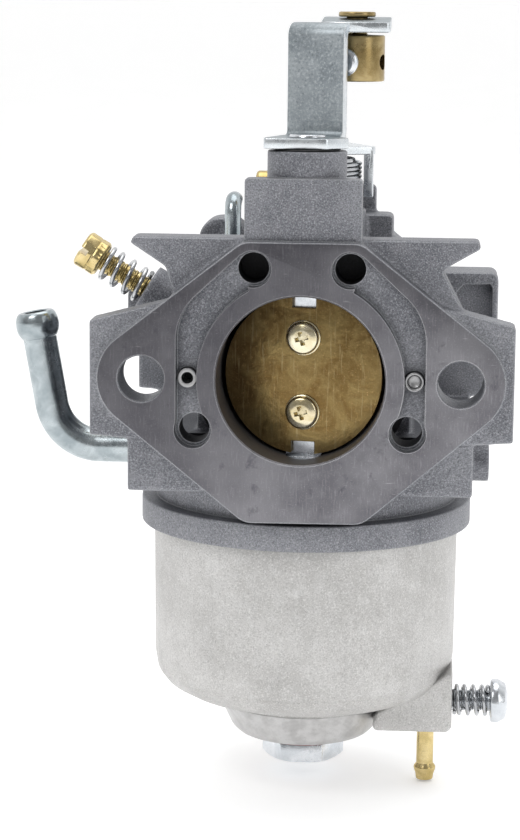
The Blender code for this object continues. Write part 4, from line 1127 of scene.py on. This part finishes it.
def make_elbow():
    """A bent inlet tube that leaves the body level and turns up, with a bead at its mouth."""
    bend, sweep = 8.6, math.radians(80.0)
    start = Vector((-36.1, ELBOW_Y, ELBOW_Z))
    points = [Vector((-22.0, ELBOW_Y, ELBOW_Z)), Vector((-30.0, ELBOW_Y, ELBOW_Z)), start]
    for step in range(1, 25):
        turn = sweep * step / 24
        points.append(start + Vector((-math.sin(turn), 0, 1 - math.cos(turn))) * bend)
    ahead = Vector((-math.cos(sweep), 0, math.sin(sweep)))
    points.append(points[-1] + ahead * 8.0)
    points.append(points[-1] + ahead * 8.3)
    tube = swept(points, 2.9, 48, 1.9)
    mouth = points[-1]
    bead = [(2.0, -4.6), (2.88, -4.6), (3.3, -4.0), (3.65, -3.2), (3.75, -2.4)]
    bead += [(3.7, -1.4), (3.4, -0.4), (3.0, 0.1), (2.3, 0.1), (2.0, -0.2)]
    collar = [(2.4, 0), (4.0, 0), (4.0, 1.2), (2.4, 1.2)]
    collar = lathe(collar, 0.3, MEDIUM, (-28.7, ELBOW_Y, ELBOW_Z), (-1, 0, 0))
    whole = joined(tube, lathe(bead, 0.3, MEDIUM, mouth, ahead), collar)
    piece("fuel_inlet_elbow", whole, "chrome", BODY, "fuel_elbow")


def make_vent():
    """A tube that stands in the body and bends over toward the engine."""
    x, y = VENT
    bend, bend_z = 2.4, 24.6
    points = [Vector((x, y, 16.0)), Vector((x, y, bend_z))]
    for step in range(1, 17):
        turn = math.pi / 2 * step / 16
        points.append(Vector((x, y + bend * (1 - math.cos(turn)), bend_z + bend * math.sin(turn))))
    points.append(Vector((x, y + 3.6, bend_z + bend)))
    piece("chamber_vent_tube", swept(points, 1.4, 28, 0.9), "chrome", BODY, "vent_tube")


def make_jets():
    x, z = JET
    jet = [(0.8, 2.6), (0.8, 5.2), (1.6, 5.2), (1.6, 1.3), (0.95, 1.3)]
    piece("air_jet", lathe(jet, 0.12, 48, (-x, 0, z), ALONG_BORE), "jet", BODY, "pilot_air_jet")
    plug = [(0, 2.4), (1.0, 2.0), (1.2, 1.3), (1.6, 1.3), (1.6, 4.6), (0, 4.6)]
    piece("air_plug", lathe(plug, 0.15, 48, (x, 0, z), ALONG_BORE), "jet", BODY, "main_air_plug")
    side_plug = [(0, 0), (2.3, 0), (2.3, 2.2), (1.7, 2.5), (0, 2.5)]
    side_plug = lathe(side_plug, 0.2, 48, (28.7, *SIDE_PLUG), (1, 0, 0))
    piece("side_plug", side_plug, "jet", BODY, "body_plug")


# --- bowl -------------------------------------------------------------------------------------


def make_bowl():
    inner = 24.8
    rim = -29.9
    profile = [(6.3, -64.0), (6.3, -67.5), (10.4, -67.5), (11.8, -67.0), (12.8, -66.0), (14.5, -62.4)]
    profile += [(14.9, -61.5), (14.8, -61.2), (15.2, -60.9), (21.6, -59.0), (24.4, -57.4), (25.7, -55.7)]
    profile += [(25.7, -55.4), (25.95, -55.2), (26.4, -52.6), (26.6, -29.0), (26.0, -29.0)]
    profile += [(26.0, rim), (inner, rim), (inner - 0.2, -52.4), (24.1, -54.3), (23.0, -55.9), (20.9, -57.2)]
    profile += [(13.0, -59.6), (10.9, -61.0), (10.4, -64.0)]
    cup = lathe(profile, 0.3, SEGMENTS, (*BOWL, 0))
    outline = [(12.2, -63.0), (12.6, -64.2), (25.2, -64.2), (26.0, -63.4), (26.0, -53.4), (13.2, -60.8)]
    boss = prism(outline, 19.4, 30.4, "Y", 0.6, 3)
    cuts = [rod(2.0, (12.0, *DRAIN_SEAT.yz), (30, *DRAIN_SEAT.yz), 40)]
    cuts.append(rod(1.6, (*NIPPLE, -68), (*NIPPLE, -62.0), SMALL))
    cuts.append(rod(6.2, (*BOWL, -69), (*BOWL, -60)))
    solid = cut(joined(cup, boss), *cuts)
    for face in solid.faces:
        middle = face.calc_center_median()
        from_axis = (middle.xy - Vector(BOWL)).length
        face.material_index = 1 if middle.z < -61.3 and from_axis < 14.95 else 0
    piece("float_chamber_bowl", solid, ("bowl", "bowl_turned"), BODY, "float_bowl")
    seal = [(inner - 0.4, -29.0), (25.9, -29.0), (25.9, rim + 0.1), (inner - 0.4, rim + 0.1)]
    piece("bowl_seal", lathe(seal, 0.2, SEGMENTS, (*BOWL, 0)), "rubber", BODY, "bowl_gasket")
    washer = [(3.3, -68.5), (7.6, -68.5), (7.6, -67.6), (3.3, -67.6)]
    piece("bolt_washer", lathe(washer, 0.2, SEGMENTS, (*BOWL, 0)), "fibre", BODY, "bowl_bolt_washer")
    half_flats = 6.32
    corner = half_flats / math.cos(math.radians(30))
    outline = []
    for step in range(6):
        turn = math.radians(60 * step)
        outline.append((BOWL[0] + corner * math.cos(turn), BOWL[1] + corner * math.sin(turn)))
    dome = [(0, -72.4), (6.0, -72.2), (7.5, -71.3), (7.5, -68.0), (0, -68.0)]
    dome = lathe(dome, 0.3, SEGMENTS, (*BOWL, 0))
    head = combined(prism(outline, -72.0, -68.6, "Z", 0.2, 2), "INTERSECT", [dome])
    shank = thread(3.0, 0.3, 1.0, -69.5, -57.4, (*BOWL, 0), (0, 0, 1), 40)
    piece("bowl_hex_bolt", joined(head, shank), "zinc", BODY, "bowl_bolt")


def dress_hidden():
    """Better materials for the CAD nodes that stay as they are, inside the float chamber."""
    wanted = {
        "main_nozzle": "brass",
        "main_jet": "brass",
        "pilot_jet": "brass",
        "needle_seat": "brass",
        "inlet_needle": "rubber",
        "float": "float",
        "float_pin": "zinc",
    }
    for node, key in wanted.items():
        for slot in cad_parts[node].material_slots:
            slot.material = LOOKS[key]


# --- studio -----------------------------------------------------------------------------------


def area_light(name, place, target, size, power):
    lamp = bpy.data.lights.new(name, "AREA")
    lamp.shape = "RECTANGLE"
    lamp.size, lamp.size_y = size
    lamp.energy = power
    obj = bpy.data.objects.new(name, lamp)
    obj.location = place
    aim = Vector(target) - Vector(place)
    obj.rotation_euler = aim.to_track_quat("-Z", "Y").to_euler()
    bpy.context.scene.collection.objects.link(obj)


def make_camera():
    camera = bpy.data.cameras.new("camera")
    camera.sensor_fit = "HORIZONTAL"
    camera.sensor_width = 36.0
    camera.lens = 170.86
    camera.clip_start = 0.01
    camera.clip_end = 50.0
    obj = bpy.data.objects.new("camera", camera)
    yaw = Matrix.Rotation(math.radians(3.931), 4, "Z")
    pitch = Matrix.Rotation(math.radians(80.208), 4, "X")
    roll = Matrix.Rotation(math.radians(0.55), 4, "Z")
    obj.matrix_world = Matrix.Translation((0.02068, -0.39464, 0.06188)) @ yaw @ pitch @ roll
    bpy.context.scene.collection.objects.link(obj)
    bpy.context.scene.camera = obj


def make_floor():
    bm = bmesh.new()
    bmesh.ops.create_grid(bm, x_segments=8, y_segments=8, size=40.0)
    bmesh.ops.translate(bm, vec=(0, 0, -0.0752), verts=bm.verts)
    mesh = bpy.data.meshes.new("floor")
    bm.to_mesh(mesh)
    bm.free()
    n = Nodes("studio_floor", 0.0, 0.7)
    tone = n.noise(60.0, 2.0, 0.5)
    colour = n.mix(n.ramp(tone, 0.3, 0.7), (0.90, 0.90, 0.90), (0.94, 0.94, 0.94))
    n.shader.inputs["Emission Color"].default_value = (1.0, 1.0, 1.0, 1.0)
    n.shader.inputs["Emission Strength"].default_value = 0.32
    mesh.materials.append(n.finish(colour))
    floor = bpy.data.objects.new("floor", mesh)
    bpy.context.scene.collection.objects.link(floor)


def make_world():
    """A pale room, brighter above and behind the object, dimmer behind the camera."""
    world = bpy.data.worlds.new("studio")
    bpy.context.scene.world = world
    world.use_nodes = True
    tree = world.node_tree
    background = tree.nodes["Background"]
    coordinates = tree.nodes.new("ShaderNodeTexCoord")
    split = tree.nodes.new("ShaderNodeSeparateXYZ")
    tree.links.new(coordinates.outputs["Generated"], split.inputs[0])
    depth = tree.nodes.new("ShaderNodeMapRange")
    depth.interpolation_type = "SMOOTHSTEP"
    tree.links.new(split.outputs["Y"], depth.inputs["Value"])
    depth.inputs["From Min"].default_value = -0.55
    depth.inputs["From Max"].default_value = 0.35
    depth.inputs["To Min"].default_value = 0.30
    depth.inputs["To Max"].default_value = 1.0
    tree.links.new(depth.outputs["Result"], background.inputs["Color"])
    background.inputs["Strength"].default_value = 1.0


def make_studio():
    """The light numbers are a place, a target, a width and height in metres, and watts."""
    make_floor()
    make_world()
    make_camera()
    area_light("key", (-0.45, -0.65, 0.75), (0, 0.03, -0.01), (0.5, 0.5), 3.2)
    area_light("fill", (0.75, -0.55, 0.35), (0, 0.03, -0.02), (0.4, 0.7), 1.4)
    area_light("top", (0.05, 0.15, 0.9), (0, 0.03, 0), (0.7, 0.7), 2.4)
    bpy.context.scene.view_settings.view_transform = "Standard"


def main():
    make_studio()
    make_body()
    make_choke()
    make_throttle()
    make_mixture_screw()
    make_idle_screw()
    make_drain()
    make_elbow()
    make_vent()
    make_jets()
    make_bowl()
    dress_hidden()


main()
